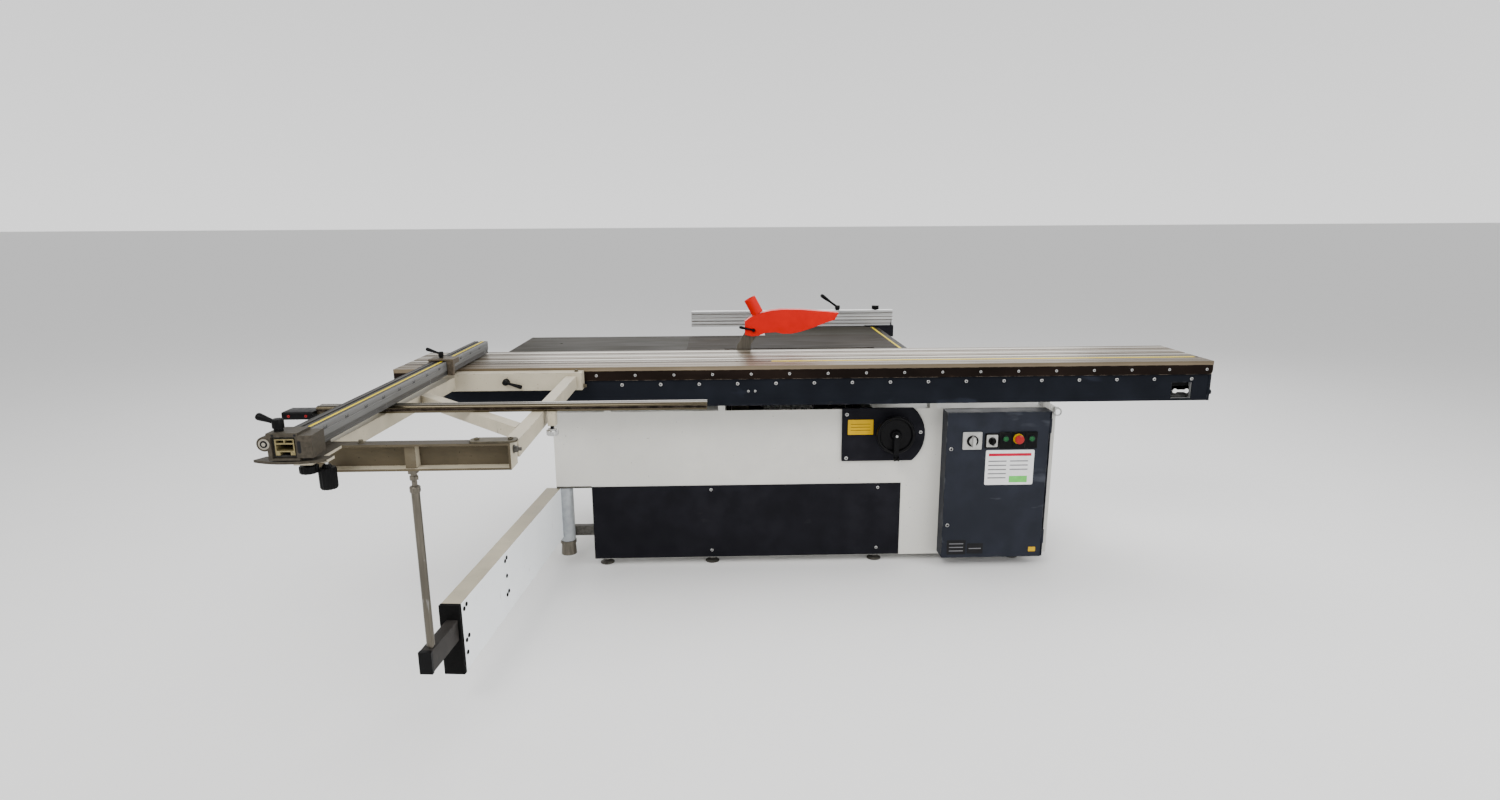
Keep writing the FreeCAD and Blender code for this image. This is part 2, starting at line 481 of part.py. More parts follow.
# ---------------------------------------------------------------- tables
main = slab("main_plate_slab", ("main_left", "main_right"), ("main_near", "main_far"),
            ("table_top - main_thick", "table_top"))
main_ribs = [
    slab("main_rim_left", ("main_left", "main_left + rib_thick"), ("main_near", "main_far"),
         ("table_under", "table_top - gap")),
    slab("main_rim_right", ("main_right - rib_thick", "main_right"), ("main_near", "main_far"),
         ("table_under", "table_top - gap")),
    slab("main_rim_far", ("main_left", "main_right"), ("main_far - rib_thick", "main_far"),
         ("table_under", "table_top - gap")),
    slab("main_rib_mid", ("main_left", "main_right"), ("riser_near - wall", "riser_near + wall"),
         ("table_under", "table_top - gap")),
    slab("main_rim_near_left", ("main_left", "slot_left - rib_thick"), ("main_near", "main_near + rib_thick"),
         ("table_under + wall*2", "table_top - gap")),
    slab("main_rim_near_right", ("slot_right + rib_thick", "main_right"), ("main_near",
                                                                           "main_near + rib_thick"),
         ("table_under + wall*2", "table_top - gap")),
]
slot = slab("main_slot", ("slot_left", "slot_right"), ("main_near - wall", "slot_far"),
            ("table_under - wall", "table_top + wall"))
main_casting = cut("main_casting", fuse("main_casting_hull", [main] + main_ribs), [slot])
node("table_insert", slab("insert_strip", ("slot_left + gap", "slot_right - gap"), ("insert_near",
                                                                                    "slot_far - gap"),
                          ("table_top - insert_thick", "table_top")))

outfeed_hull = slab("outfeed_hull", ("outfeed_left", "main_left - gap"), ("main_near", "main_far"),
                    ("table_top - outfeed_deep", "table_top"))
outfeed_room = slab("outfeed_room", ("outfeed_left + sheet_thick", "main_left - gap - sheet_thick"),
                    ("main_near + sheet_thick", "main_far - sheet_thick"),
                    ("table_top - outfeed_deep - wall", "table_top - sheet_thick"))
hole = rod("outfeed_hole", "table_hole_r", "wall*2", "table_hole_x", "table_hole_y", "table_top - wall")
node("outfeed_table", cut("outfeed", outfeed_hull, [outfeed_room, hole]))
side_hull = slab("side_hull", ("side_left", "main_right"), ("main_far + gap", "side_far"),
                 ("table_top - outfeed_deep", "table_top"))
side_room = slab("side_room", ("side_left + sheet_thick", "main_right - sheet_thick"),
                 ("main_far + gap + sheet_thick", "side_far - sheet_thick"),
                 ("table_top - outfeed_deep - wall", "table_top - sheet_thick"))
node("side_table", cut("side", side_hull, [side_room]))

# ---------------------------------------------------------------- rail and rip fence
node("fence_rail", slab("rail", ("main_right", "rail_right"), ("rail_near", "rail_far"), ("rail_low",
                                                                                          "rail_high")))
fence_outline = [("fence_left", "fence_low"), ("fence_toe", "fence_low"), ("fence_right", "fence_high"),
                 ("fence_left", "fence_high")]
fence_hull = prism("fence_hull", "xz", fence_outline, "fence_far - fence_near", "- fence_far")
fence_cuts = [
    slab("fence_void_low", ("fence_left - wall", "fence_right + wall"), ("fence_near + wall*2",
                                                                         "fence_far - wall"),
         ("fence_low + wall", "fence_low + wall*5.5")),
    slab("fence_void_high", ("fence_left - wall", "fence_right + wall"),
         ("fence_near + wall*2", "fence_far - wall"), ("fence_low + wall*7", "fence_high - wall")),
]
for index, level in enumerate(("fence_low + wall*1.5", "fence_low + wall*4", "fence_low + wall*8",
                               "fence_low + wall*10.5")):
    fence_cuts.append(slab("fence_groove_%d" % index, ("fence_left - wall", "fence_right + wall"),
                           ("fence_near - wall", "fence_near + wall/2"), (level, level + " + wall*1.5")))
node("rip_fence", cut("fence_extrusion", fence_hull, fence_cuts))
carrier = [
    slab("carrier_saddle", ("carrier_left", "carrier_right"), ("carrier_near", "carrier_far"),
         ("table_top + gap", "fence_low")),
    slab("carrier_nose", ("rail_right + gap", "carrier_right"), ("carrier_near", "carrier_far"),
         ("carrier_low", "table_top + gap*2")),
    slab("carrier_back", ("carrier_left", "carrier_right"), ("fence_far + gap", "carrier_far"),
         ("table_top + gap*2", "fence_high - wall")),
]
node("fence_carrier", fuse("carrier_casting", carrier))
lever_hub = rod("fence_lever_hub", "fence_hub_r", "fence_hub_high", "fence_hub_x",
                "fence_near/2 + fence_far/2", "fence_high + gap")
lever_arm = turned(rod("fence_lever_arm", "lever_r", "fence_lever_long", "fence_hub_x",
                       "fence_near/2 + fence_far/2", "fence_high + fence_hub_high/2", thin="lever_r*1.3"),
                   (0, -1, 0), "fence_lever_tilt")
node("fence_lever", fuse("fence_lever_set", [lever_hub, lever_arm]))
node("fence_knob", fuse("fence_knob_set", [
    rod("fence_knob_stem", "pin_r", "fence_knob_high", "fence_knob_x", "fence_near/2 + fence_far/2",
        "fence_high + gap"),
    rod("fence_knob_head", "fence_knob_r", "fence_knob_high - wall", "fence_knob_x",
        "fence_near/2 + fence_far/2", "fence_high + wall")]))

# ---------------------------------------------------------------- fixed beam
beam_points = [("beam_near", "beam_low"), ("beam_foot", "beam_low"), ("beam_back", "beam_high"),
               ("trough_far", "beam_high"), ("trough_far", "trough_low"), ("trough_near", "trough_low"),
               ("trough_near", "beam_high"), ("beam_near", "beam_high")]
beam = prism("beam_section", "yz", beam_points, "beam_right - beam_left", "beam_left")
beam_voids = [slab("beam_void_%d" % index, ("beam_left - wall", "beam_right + wall"), span,
                   ("void_low", "void_high"))
              for index, span in enumerate((("void_near", "void_mid_near"), ("void_mid_far", "void_far")))]
beam_voids.append(slab("beam_recess", ("recess_left", "recess_right"),
                       ("beam_near - wall", "void_near + wall"), ("recess_low", "recess_high")))
beam_body = cut("beam_extrusion", beam, beam_voids)
cover_plate = slab("beam_face", ("beam_left", "beam_right"), ("cover_face", "beam_near"), ("beam_low",
                                                                                           "beam_high"))
cover_face = cut("beam_face_cut", cover_plate, [
    slab("beam_face_window", ("recess_left", "recess_right"), ("cover_face - wall", "beam_near + wall"),
         ("recess_low", "recess_high"))])
beam_spots = [("beam_screw_last - screw_pitch*%d" % step, "beam_screw_z") for step in range(20)]
beam_heads = screws("beam_screw", beam_spots, "screw_head", "cover_face", "screw_rise")
node("cover_screws", group("cover_screw_set", cover_heads + plate_heads + beam_heads))
node("slide_beam", group("beam_set", [beam_body] + [
    rod("beam_rail_%d" % index, "rail_bar", "beam_right - beam_left", "beam_left", y,
        "trough_low + rail_bar", "x") for index, y in enumerate(("rail_one", "rail_two"))]))
brackets = [slab("bracket_%d" % index, (x, x + " + bracket_wide"), ("body_front", "bracket_far"),
                 ("body_top", "beam_low")) for index, x in enumerate(("bracket_a", "bracket_b", "bracket_c",
                                                                      "bracket_d"))]
beam_cap = slab("beam_cap", ("beam_right", "cap_right"), ("cap_near", "beam_foot"), ("beam_low",
                                                                                     "trough_low"))
beam_cap_edge = slab("beam_cap_edge", ("beam_right", "cap_right"), ("cap_near", "trough_near"),
                     ("trough_low", "beam_high"))
end_stop = rod("end_stop_bolt", "stop_r_bolt", "stop_reach - beam_right", "beam_right", "cap_near*4",
               "stop_low", "x")
node("beam_cover", fuse("beam_cover_set", [cover_face, beam_cap, beam_cap_edge, end_stop]))
latch_hub = rod("latch_hub", "latch_r", "void_near + wall - latch_front - gap", "latch_x",
                "latch_front", "latch_z", "y")
latch_arm = slab("latch_arm", ("latch_x - latch_long", "latch_x"), ("latch_front", "cover_face - gap"),
                 ("latch_z - latch_r/2", "latch_z + latch_r/2"))
latch_tip = rod("latch_tip", "latch_r", "cover_face - latch_front - gap", "latch_x - latch_long",
                "latch_front", "latch_z", "y")
node("slide_latch", fuse("latch", [latch_hub, latch_arm, latch_tip]))
hook_ring = doc.addObject("Part::Torus", "hook_ring_shape")
bind(hook_ring, "Radius1", "hook_ring")
bind(hook_ring, "Radius2", "hook_wire")
hook_ring.Placement.Rotation = FreeCAD.Rotation(FreeCAD.Vector(1, 0, 0), 90)
move(hook_ring, "hook_x", "body_front - hook_wire*2", "hook_z - hook_ring")
hook_eye = slab("hook_eye", ("hook_x - hook_ring", "hook_x + wall/2"), ("body_front - hook_wire*3",
                                                                        "body_front"),
                ("hook_z - hook_wire", "hook_z + wall"))
node("chassis_body", fuse("chassis_welded", [chassis, duct, gland, hook_ring, hook_eye] + brackets))

# ---------------------------------------------------------------- roller carriage
cage = slab("cage_plate", ("- cage_half", "cage_half"), ("cage_near", "cage_far"), ("cage_low", "cage_high"))
axle_holes = []
rollers = []
for step in range(8):
    x = "roller_step*%.1f - roller_step*3.5" % step
    axle_holes.append(rod("axle_hole_%d" % step, "axle_hole", "cage_far - cage_near + wall*2", x,
                          "cage_near - wall", "cage_low/2 + cage_high/2 + gap/2", "y"))
    axle = rod("axle_%d" % step, "axle_r", "rail_two - rail_one", x, "rail_one",
               "cage_low/2 + cage_high/2 + gap/2", "y")
    wheels = [rod("roller_%d_%s" % (step, side), "roller_r", "roller_wide", x, side + " - roller_wide/2",
                  "cage_low/2 + cage_high/2 + gap/2", "y") for side in ("rail_one", "rail_two")]
    rollers.append(fuse("roller_pair_%d" % step, [axle] + wheels))
node("roller_carriage", group("roller_set", [cut("cage", cage, axle_holes)] + rollers))

# ---------------------------------------------------------------- sliding table
slide_points = [("strip_face", "slide_low"), ("slide_under_far", "slide_low"), ("slide_far",
                                                                                "slide_edge_low"),
                ("slide_far", "table_top"), ("0", "table_top"), ("0", "lip_low"), ("strip_face", "lip_low")]
slide = prism("slide_section", "yz", slide_points, "slide_right - slide_left", "slide_left")
whole = ("slide_left - wall", "slide_right + wall")
slide_cuts = [
    slab("slide_groove", whole, ("groove_near", "groove_far"), ("groove_low", "table_top + wall")),
    slab("slide_void_near", whole, ("hollow_near", "hollow_a"), ("hollow_low", "hollow_high")),
    slab("slide_void_far", whole, ("hollow_b", "hollow_c"), ("hollow_low", "hollow_high")),
]
slide_body = cut("slide_extrusion", slide, slide_cuts)
slide_bars = [slab("slide_bar_%d" % index, ("slide_left + wall", "slide_right - wall"),
                   (y + " - roller_wide/2", y + " + roller_wide/2"), ("slide_bar_low", "slide_low"))
              for index, y in enumerate(("rail_one", "rail_two"))]
node("sliding_table", fuse("slide_set", [slide_body] + slide_bars))
cover_strip = slab("side_strip", ("slide_left", "slide_right"), ("0", "strip_face"), ("slide_low", "lip_low"))
rounded = doc.addObject("Part::Fillet", "side_strip_round")
rounded.Base = cover_strip
doc.recompute()
low_edges = []
for index, edge in enumerate(cover_strip.Shape.Edges, start=1):
    start, end = (vertex.Point for vertex in edge.Vertexes)
    if abs(start.y - end.y) > 1 and start.z < SIZES["lip_low"] - 1 and end.z < SIZES["lip_low"] - 1:
        low_edges.append((index, SIZES["cover_radius"], SIZES["cover_radius"]))
rounded.Edges = low_edges
node("carriage_cover", rounded)
carriage_spots = [("carriage_screw_last - screw_pitch*%d" % step, "carriage_screw_z") for step in range(22)]
node("carriage_screws", group("carriage_screw_set", screws("carriage_screw", carriage_spots, "screw_head*0.8",
                                                           "0",
                                                           "screw_rise/2")))

# ---------------------------------------------------------------- outrigger
inner_hull = slab("inner_hull", ("inner_left", "inner_right"), ("inner_near", "inner_far"),
                  ("inner_low", "frame_top"))
inner_beam = cut("inner_beam", inner_hull, [
    slab("inner_void", ("inner_left - wall", "inner_right - tube_wall"),
         ("inner_near + tube_wall", "inner_far - tube_wall"),
         ("inner_low + tube_wall", "frame_top - tube_wall"))])
node("frame_inner_beam", fuse("inner_beam_set", [inner_beam, slab(
    "inner_tongue", ("inner_left + wall*3", "inner_right - wall*2"), ("inner_far - wall", "0"),
    ("frame_top - tube_wall", "frame_top"))]))
channel = [
    slab("channel_web", ("near_left", "near_right"), ("near_back - wall", "near_back"), ("near_low",
                                                                                         "frame_top")),
    slab("channel_top", ("near_left", "near_right"), ("near_front", "near_back"),
         ("frame_top - wall", "frame_top")),
    slab("channel_foot", ("near_left + wall*11", "near_right"), ("near_front", "near_back"),
         ("near_low", "near_low + wall")),
    slab("channel_stiff", ("stiff_left", "stiff_right"), ("near_front + wall", "near_back"),
         ("near_low", "frame_top")),
    slab("channel_end", ("near_right - wall", "near_right"), ("near_front", "near_back + wall*4"),
         ("near_low", "frame_top")),
]


def tube(name, x, y, low, high, length, turn, axis=(0, 0, 1)):
    """Square tube lying along -Y from its start corner, turned about that corner."""
    hull = doc.addObject("Part::Box", name + "_hull")
    void = doc.addObject("Part::Box", name + "_void")
    bind(hull, "Length", "tube_wide")
    bind(hull, "Width", length)
    bind(hull, "Height", minus(high, low))
    bind(void, "Length", "tube_wide - tube_wall*2")
    bind(void, "Width", length + " + wall*2")
    bind(void, "Height", minus(high, low) + " - tube_wall*2")
    move(hull, "0", "- " + length, "0")
    move(void, "tube_wall", "- wall - " + length, "tube_wall")
    hollow = cut(name + "_hollow", hull, [void])
    turned(hollow, axis, turn)
    move(hollow, x, y, low)
    return hollow


trim_near = slab("trim_near", ("near_left*1.2", "near_right*0.5"), ("near_front*1.3", "near_back"),
                 ("near_low - wall", "table_top"))
trim_far = slab("trim_far", ("near_left*1.2", "near_right*0.5"), ("inner_near", "wall*20"),
                ("near_low - wall", "table_top"))
right_tube = tube("right_tube", "right_tube_x", "inner_near + wall*2", "tube_low", "tube_high",
                  "tube_long + wall*4", "right_tube_turn")
tubes = [cut("right_tube_trimmed", right_tube, [trim_near, trim_far])]
left_tube = tube("left_tube", "left_tube_x", "inner_near + wall*2", "tube_low", "tube_high",
                 "tube_long + wall*4", "left_tube_turn", (0, 0, -1))
tubes.append(cut("left_tube_trimmed", left_tube, [
    slab("trim_near_b", ("near_left*1.2", "near_right*0.5"), ("near_front*1.3", "near_back"),
         ("near_low - wall", "table_top")),
    slab("trim_far_b", ("near_left*1.2", "near_right*0.5"), ("inner_near", "wall*20"),
         ("near_low - wall", "table_top"))]))
brace = tube("brace", "brace_x", "brace_y", "brace_low", "tube_high", "brace_long", "brace_turn")
brace_trims = []
for name, x, turn, axis in (("brace_trim_left", "left_tube_x + tube_wide - near_wide", "left_tube_turn",
                             (0, 0, -1)),
                            ("brace_trim_right", "right_tube_x", "right_tube_turn", (0, 0, 1))):
    block = slab(name + "_block", ("0", "near_wide"), ("- tube_long*1.2", "tube_long*0.2"), ("0",
                                                                                             "tube_high"))
    edge = fuse(name, [block, slab(name + "_core", ("wall", "wall*2"), ("wall", "wall*2"), ("wall",
                                                                                            "wall*2"))])
    turned(edge, axis, turn)
    move(edge, x, "inner_near + wall*2", "wall")
    brace_trims.append(edge)
node("frame_tubes", group("frame_tube_set", tubes + [cut("brace_trimmed", brace, brace_trims)]))
wear_bolts = [rod("wear_bolt_%d" % index, "screw_head", "wall", x, "wear_near/2 + wear_far/2",
                  "frame_top + wear_thick") for index, x in enumerate(("wear_left + wall*3",
                                                                       "wear_right - wall*3"))]
wear = fuse("wear", [slab("wear_sheet", ("wear_left", "wear_right"), ("wear_near", "wear_far"),
                          ("frame_top", "frame_top + wear_thick"))] + wear_bolts)
bolts = [rod("frame_bolt_%d" % index, "screw_head*1.2", "wall*1.5", x, y, "frame_top")
         for index, (x, y) in enumerate((("inner_left + wall*6", "inner_near + wall*4"),
                                         ("inner_right - wall*4", "inner_near + wall*4"),
                                         ("near_left + wall*24", "near_back - wall*3")))]
bolts.append(rod("frame_bolt_side", "screw_head*1.2", "wall*2", "inner_right", "inner_near/2 + inner_far/2",
                 "inner_low + wall*2", "x"))
node("wear_plate", group("wear_set", [wear] + bolts))
lever_boss = rod("frame_lever_boss", "lever_hub", "lever_hub_long", "lever_x",
                 "inner_near - gap - lever_hub_long", "lever_z", "y")
lever_bar = turned(rod("frame_lever_bar", "lever_r", "lever_long", "lever_x", "inner_near - lever_hub_long/2",
                       "lever_z", thin="lever_r*1.3"), (0, 1, 0), "90 - lever_drop")
node("frame_lever", fuse("frame_lever_set", [lever_boss, lever_bar]))

# ---------------------------------------------------------------- support bar and leg
bar_hull = slab("bar_hull", ("bar_left", "bar_right"), ("bar_near", "bar_far"), ("bar_low", "bar_high"))
bar_cuts = [
    slab("bar_slot_front", ("bar_left - wall", "bar_right + wall"), ("bar_near - wall",
                                                                     "bar_near + wall*1.5"),
         ("bar_low + bar_slot", "bar_low + bar_slot*2.6")),
    slab("bar_slot_top", ("bar_left - wall", "bar_right + wall"),
         ("bar_near/2 + bar_far/2 - skin", "bar_near/2 + bar_far/2 + skin"),
         ("bar_high - wall", "bar_high + wall")),
    slab("bar_void", ("bar_left - wall", "bar_right + wall"), ("bar_near + wall*2.5", "bar_far - skin"),
         ("bar_low + skin", "bar_high - wall - skin")),
]
node("support_bar", cut("bar_extrusion", bar_hull, bar_cuts))
end_block = slab("end_block", ("block_left", "bar_left"), ("block_near", "bar_far"),
                 ("bar_low - wall*2", "bar_high - wall*2"))
clamp = [
    rod("clamp_bolt", "wall*0.9", "bar_low - clamp_low - wall*3", "clamp_x", "clamp_y", "clamp_low + wall*3"),
    rod("clamp_pad", "wall*3.5", "wall*3.5", "clamp_x", "clamp_y", "clamp_low"),
    slab("clamp_block", ("clamp_x - wall", "clamp_x + wall*2"), ("clamp_y - wall", "bar_near + wall*2"),
         ("clamp_low + wall*5", "bar_low")),
]
node("bar_fittings", group("bar_fitting_set", [end_block, fuse("clamp_set", clamp)]))
leg = [
    rod("leg_tube", "leg_r", "leg_high - leg_low", "leg_x", "leg_y", "leg_low"),
    rod("leg_collar_ring", "leg_collar", "leg_collar_high", "leg_x", "leg_y", "leg_high"),
    rod("leg_rod_top", "leg_rod", "leg_top - leg_high", "leg_x", "leg_y", "leg_high"),
    slab("leg_clevis", ("leg_x - leg_r", "leg_x + leg_r"), ("leg_y - leg_r", "leg_y + leg_r"),
         ("leg_top - leg_collar*2", "near_low")),
]
node("support_leg", fuse("leg", leg))

# ---------------------------------------------------------------- mitre fence
mitre_hull = slab("mitre_hull", ("mitre_left", "mitre_right"), ("mitre_near", "mitre_far"),
                  ("mitre_low", "mitre_high"))
mitre_cuts = [
    slab("mitre_void", ("mitre_left + mitre_wall", "mitre_right - mitre_wall"),
         ("mitre_near - wall", "mitre_far + wall"), ("mitre_low + mitre_wall", "mitre_high - mitre_wall")),
    slab("mitre_slot", ("mitre_right - skin/2", "mitre_right + wall"), ("mitre_near - wall",
                                                                        "mitre_far + wall"),
         ("mitre_low + wall", "mitre_low + wall*1.8")),
]
node("mitre_fence", cut("mitre_extrusion", mitre_hull, mitre_cuts))
ext_x = ("mitre_left + mitre_wall + gap", "mitre_right - mitre_wall - gap")
ext_z = ("mitre_low + mitre_wall + gap", "mitre_high - mitre_wall - gap")
ext_hull = slab("extension_hull", ext_x, ("mitre_near - wall/2", "mitre_near + extension_long"), ext_z)
inner_x = (ext_x[0] + " + extension_skin", ext_x[1] + " - extension_skin")
ext_y = ("mitre_near - wall*2", "mitre_near + extension_long + wall")
ext_mid = "mitre_left/2 + mitre_right/2"
ext_cuts = [
    slab("extension_cell_left", (inner_x[0], ext_mid + " - skin/2"), ext_y,
         ("mitre_high - wall*2.6", ext_z[1] + " - extension_skin")),
    slab("extension_cell_right", (ext_mid + " + skin/2", inner_x[1]), ext_y,
         ("mitre_high - wall*2.6", ext_z[1] + " - extension_skin")),
    slab("extension_cell_mid", inner_x, ext_y, ("mitre_low + wall*2.8", "mitre_high - wall*3.1")),
    slab("extension_cell_low", (ext_mid + " - wall*2", ext_mid + " + wall*2"), ext_y,
         ("mitre_low", "mitre_low + wall*2.3")),
]
node("fence_extension", cut("extension", ext_hull, ext_cuts))

wing_points = [("casting_right - wall", "casting_near"), ("wing_right", "casting_near"),
               ("wing_far", "casting_far + wall"), ("casting_right - wall", "casting_far")]
casting = [
    slab("casting_block", ("casting_left", "casting_right"), ("casting_near", "casting_far"),
         ("casting_low", "casting_high")),
    prism("casting_wing", "xy", wing_points, "casting_high - wall*2 - casting_low", "casting_low + wall"),
    rod("casting_ear", "ear_r", "wall*4", "ear_x", "casting_near", "ear_z", "y"),
]
casting_hole = slab("casting_hole", ("mitre_left", "mitre_right"),
                    ("casting_near - wall", "casting_far + wall"), ("mitre_low - gap", "mitre_high + gap"))
node("end_casting", cut("casting_cut", fuse("casting_hull", casting), [casting_hole]))
arc_spots = band("pivot_x", "pivot_y", ("arc_outer", "arc_inner"), -90 - SIZES["arc_half"],
                 -90 + SIZES["arc_half"], 10)
angle_arc = prism("angle_arc", "xy", arc_spots, "arc_high - arc_low", "arc_low")
pivot = rod("pivot_pin", "pivot_r", "mitre_low - frame_top - gap*2", "pivot_x", "pivot_y", "frame_top")
node("casting_lever", fuse("casting_lever_set", [
    rod("casting_lever_hub", "hub_r", "hub_high", "hub_x", "hub_y", "casting_high + gap"),
    turned(rod("casting_lever_bar", "handle_r", "handle_long", "hub_x", "hub_y",
               "casting_high + hub_high - handle_r", thin="handle_r*1.3"), (0, -1, 0), "90 - handle_rise")]))
stop_outer = slab("stop_outer", ("mitre_left - stop_skin", "mitre_right + stop_wing"), ("stop_near",
                                                                                        "stop_far"),
                  ("mitre_low - gap", "mitre_high + scale_thick + stop_skin"))
stop_inner = slab("stop_inner", ("mitre_left - gap", "mitre_right + gap"), ("stop_near - wall",
                                                                            "stop_far + wall"),
                  ("mitre_low - wall*2", "mitre_high + scale_thick + gap"))
stop_trim = slab("stop_trim", ("mitre_right + gap + wall", "mitre_right + stop_wing + wall"),
                 ("stop_near + wall*2", "stop_far + wall"), ("mitre_low - wall*2", "mitre_high - wall*2"))
node("fence_stop", cut("stop_bracket", stop_outer, [stop_inner, stop_trim]))
node("stop_lever", fuse("stop_lever_set", [
    rod("stop_lever_hub", "stop_hub_r", "stop_hub_high", "pivot_x", "stop_hub_y",
        "mitre_high + scale_thick + stop_skin + gap"),
    turned(rod("stop_lever_bar", "stop_handle_r*1.3", "stop_handle", "pivot_x", "stop_hub_y",
               "mitre_high + scale_thick + stop_skin + stop_hub_high - stop_handle_r",
               thin="stop_handle_r/2"), (0, -1, 0), "90 - handle_rise/2")]))
for label in ("knob_one", "knob_two"):
    node(label, fuse(label + "_set", [
        rod(label + "_head", label + "_r", minus(label + "_high", label + "_low"), label + "_x", label + "_y",
            label + "_low"),
        rod(label + "_stud", "knob_stud", minus("knob_arm_low - gap", label + "_low"), label + "_x",
            label + "_y", label + "_low")]))
knob_arm = [
    slab("knob_arm_bar", ("knob_one_x - wall*4", "knob_one_x + wall*3.5"), ("knob_arm_near", "near_back"),
         ("knob_arm_low", "frame_top")),
    slab("knob_arm_lug", ("knob_one_x + wall*3", "knob_two_x + wall*2"), ("knob_two_y - wall*3",
                                                                          "knob_two_y + wall*3"),
         ("knob_arm_low", "frame_top")),
]
node("frame_outer_channel", fuse("outer_channel", channel + knob_arm + [angle_arc, pivot]))

# ---------------------------------------------------------------- swing arm
post_parts = [
    slab("bracket_top_lug", ("post_x - post_r", "foot_left"), ("post_y - lug_r", "post_y + lug_r"),
         ("lug_top_low", "body_waist")),
    rod("bracket_low_lug", "lug_r", "lug_high - lug_low", "post_x", "post_y", "lug_low"),
    slab("bracket_back", ("post_x", "foot_left"), ("bar_front", "bar_front + bar_deep"),
         ("bar_bottom", "bar_upper")),
    slab("bracket_link", ("post_x - wall*3", "post_x + wall*3"), ("post_y", "bar_front + bar_deep"),
         ("lug_low", "lug_high")),
    slab("bracket_riser", ("post_x", "post_x + wall*3"), ("bar_front", "bar_front + bar_deep"),
         ("lug_low", "bar_upper")),
    rod("arm_pin_shaft", "pin_main", "lug_top_low - lug_high + gap*2", "post_x", "post_y", "lug_high - gap"),
    rod("arm_collar", "collar_r", "collar_high - collar_low", "post_x", "post_y", "collar_low",
        thin="collar_r*0.9"),
    rod("arm_collar_neck", "pin_main/2", "lug_high - collar_high + gap*2", "post_x", "post_y",
        "collar_high - gap"),
]
node("arm_post", fuse("post_set", post_parts))
sleeve = rod("arm_sleeve", "post_r", "post_high - post_low", "0", "0", "post_low")
arm_hull = slab("arm_hull", ("arm_left", "arm_right"), ("arm_near", "arm_far"), ("arm_low", "arm_high"))
arm_void = slab("arm_void", ("arm_left + arm_wall", "arm_right - arm_wall"),
                ("arm_near - wall", "arm_far - arm_wall*6"), ("arm_low + arm_wall", "arm_high - arm_wall"))
arm_bore = rod("arm_bore", "post_bore", "post_high", "0", "0", "post_low/2")
node("arm_tube", cut("arm_welded", fuse("arm_joined", [sleeve, arm_hull]), [arm_void, arm_bore]),
     ("post_x", "post_y", "0"), "arm_turn")
arm_window = slab("arm_window", ("inner_arm_left - gap", "inner_arm_right + gap"),
                  ("arm_near - arm_cap - wall", "arm_near + wall"),
                  ("inner_arm_low - gap", "inner_arm_high + gap"))
cap_plate = slab("arm_cap_plate", ("arm_left - skin/2", "arm_right + skin/2"),
                 ("arm_near - arm_cap", "arm_near"), ("arm_low - skin/2", "arm_high + skin/2"))
arm_cap = cut("arm_cap_cut", cap_plate, [arm_window])
arm_heads = []
ARM_SCREWS = (("arm_near + wall*3", "arm_high - wall*4"), ("arm_near + wall*6", "arm_high - wall*3"),
              ("arm_near + wall*3", "arm_high - wall*21"), ("arm_near + wall*6", "arm_high - wall*20"),
              ("arm_near + wall*3", "arm_low + wall*9"), ("arm_near*0.66", "arm_high - wall*4.5"),
              ("arm_near*0.645", "arm_high - wall*3.5"), ("arm_near*0.653", "arm_high - wall*14"),
              ("arm_near*0.66", "arm_high - wall*25"), ("arm_near*0.645", "arm_high - wall*24"))
for index, (y, z) in enumerate(ARM_SCREWS):
    arm_heads.append(rod("arm_screw_%d" % index, "screw_head", "screw_rise", "arm_right", y, z, "x"))
node("arm_end_cap", group("arm_cap_set", [arm_cap] + arm_heads), ("post_x", "post_y", "0"), "arm_turn")
inner_tube = slab("inner_tube_hull", ("inner_arm_left", "inner_arm_right"),
                  ("inner_arm_near", "inner_arm_near + inner_arm_long"), ("inner_arm_low", "inner_arm_high"))
inner_void = slab("inner_tube_void", ("inner_arm_left + skin", "inner_arm_right - skin"),
                  ("inner_arm_near - wall", "inner_arm_near + inner_arm_long - wall*6"),
                  ("inner_arm_low + skin", "inner_arm_high - skin"))
inner_shoe = slab("inner_shoe", ("arm_left + arm_wall + gap*2", "arm_right - arm_wall - gap*2"),
                  ("inner_arm_near + inner_arm_long - wall*5", "inner_arm_near + inner_arm_long"),
                  ("arm_low + arm_wall + gap*2", "arm_high - arm_wall - gap*2"))
inner_cap = slab("inner_cap", ("inner_arm_left - skin/2", "inner_arm_right + skin/2"),
                 ("inner_arm_near - wall*2", "inner_arm_near"), ("inner_arm_low - skin/2", "inner_arm_high"))
inner_arm = fuse("inner_joined", [cut("inner_hollow", inner_tube, [inner_void]), inner_shoe])
node("arm_extension", group("inner_arm_set", [inner_arm, inner_cap]), ("post_x", "post_y", "0"), "arm_turn")

# ---------------------------------------------------------------- tilting blade unit
hanger_outline = [("460", "main_plate_under"), ("548", "main_plate_under"), ("548", "640"), ("330", "560"),
                  ("240", "600"), ("240", "660"), ("400", "820")]
slot_spots = band("blade_y", "table_top", ("trunnion_out", "trunnion_in"), -120, -64, 14)
hangers = []
for side in ("hanger_left", "hanger_right"):
    outline = prism("%s_plate" % side, "yz", hanger_outline, "plate_in_thick", side)
    guide = prism("%s_guide" % side, "yz", slot_spots, "plate_in_thick + wall*2", side + " - wall")
    hangers.append(cut("%s_cut" % side, outline, [guide]))
node("main_table", fuse("main_table_cast", [main_casting] + hangers))

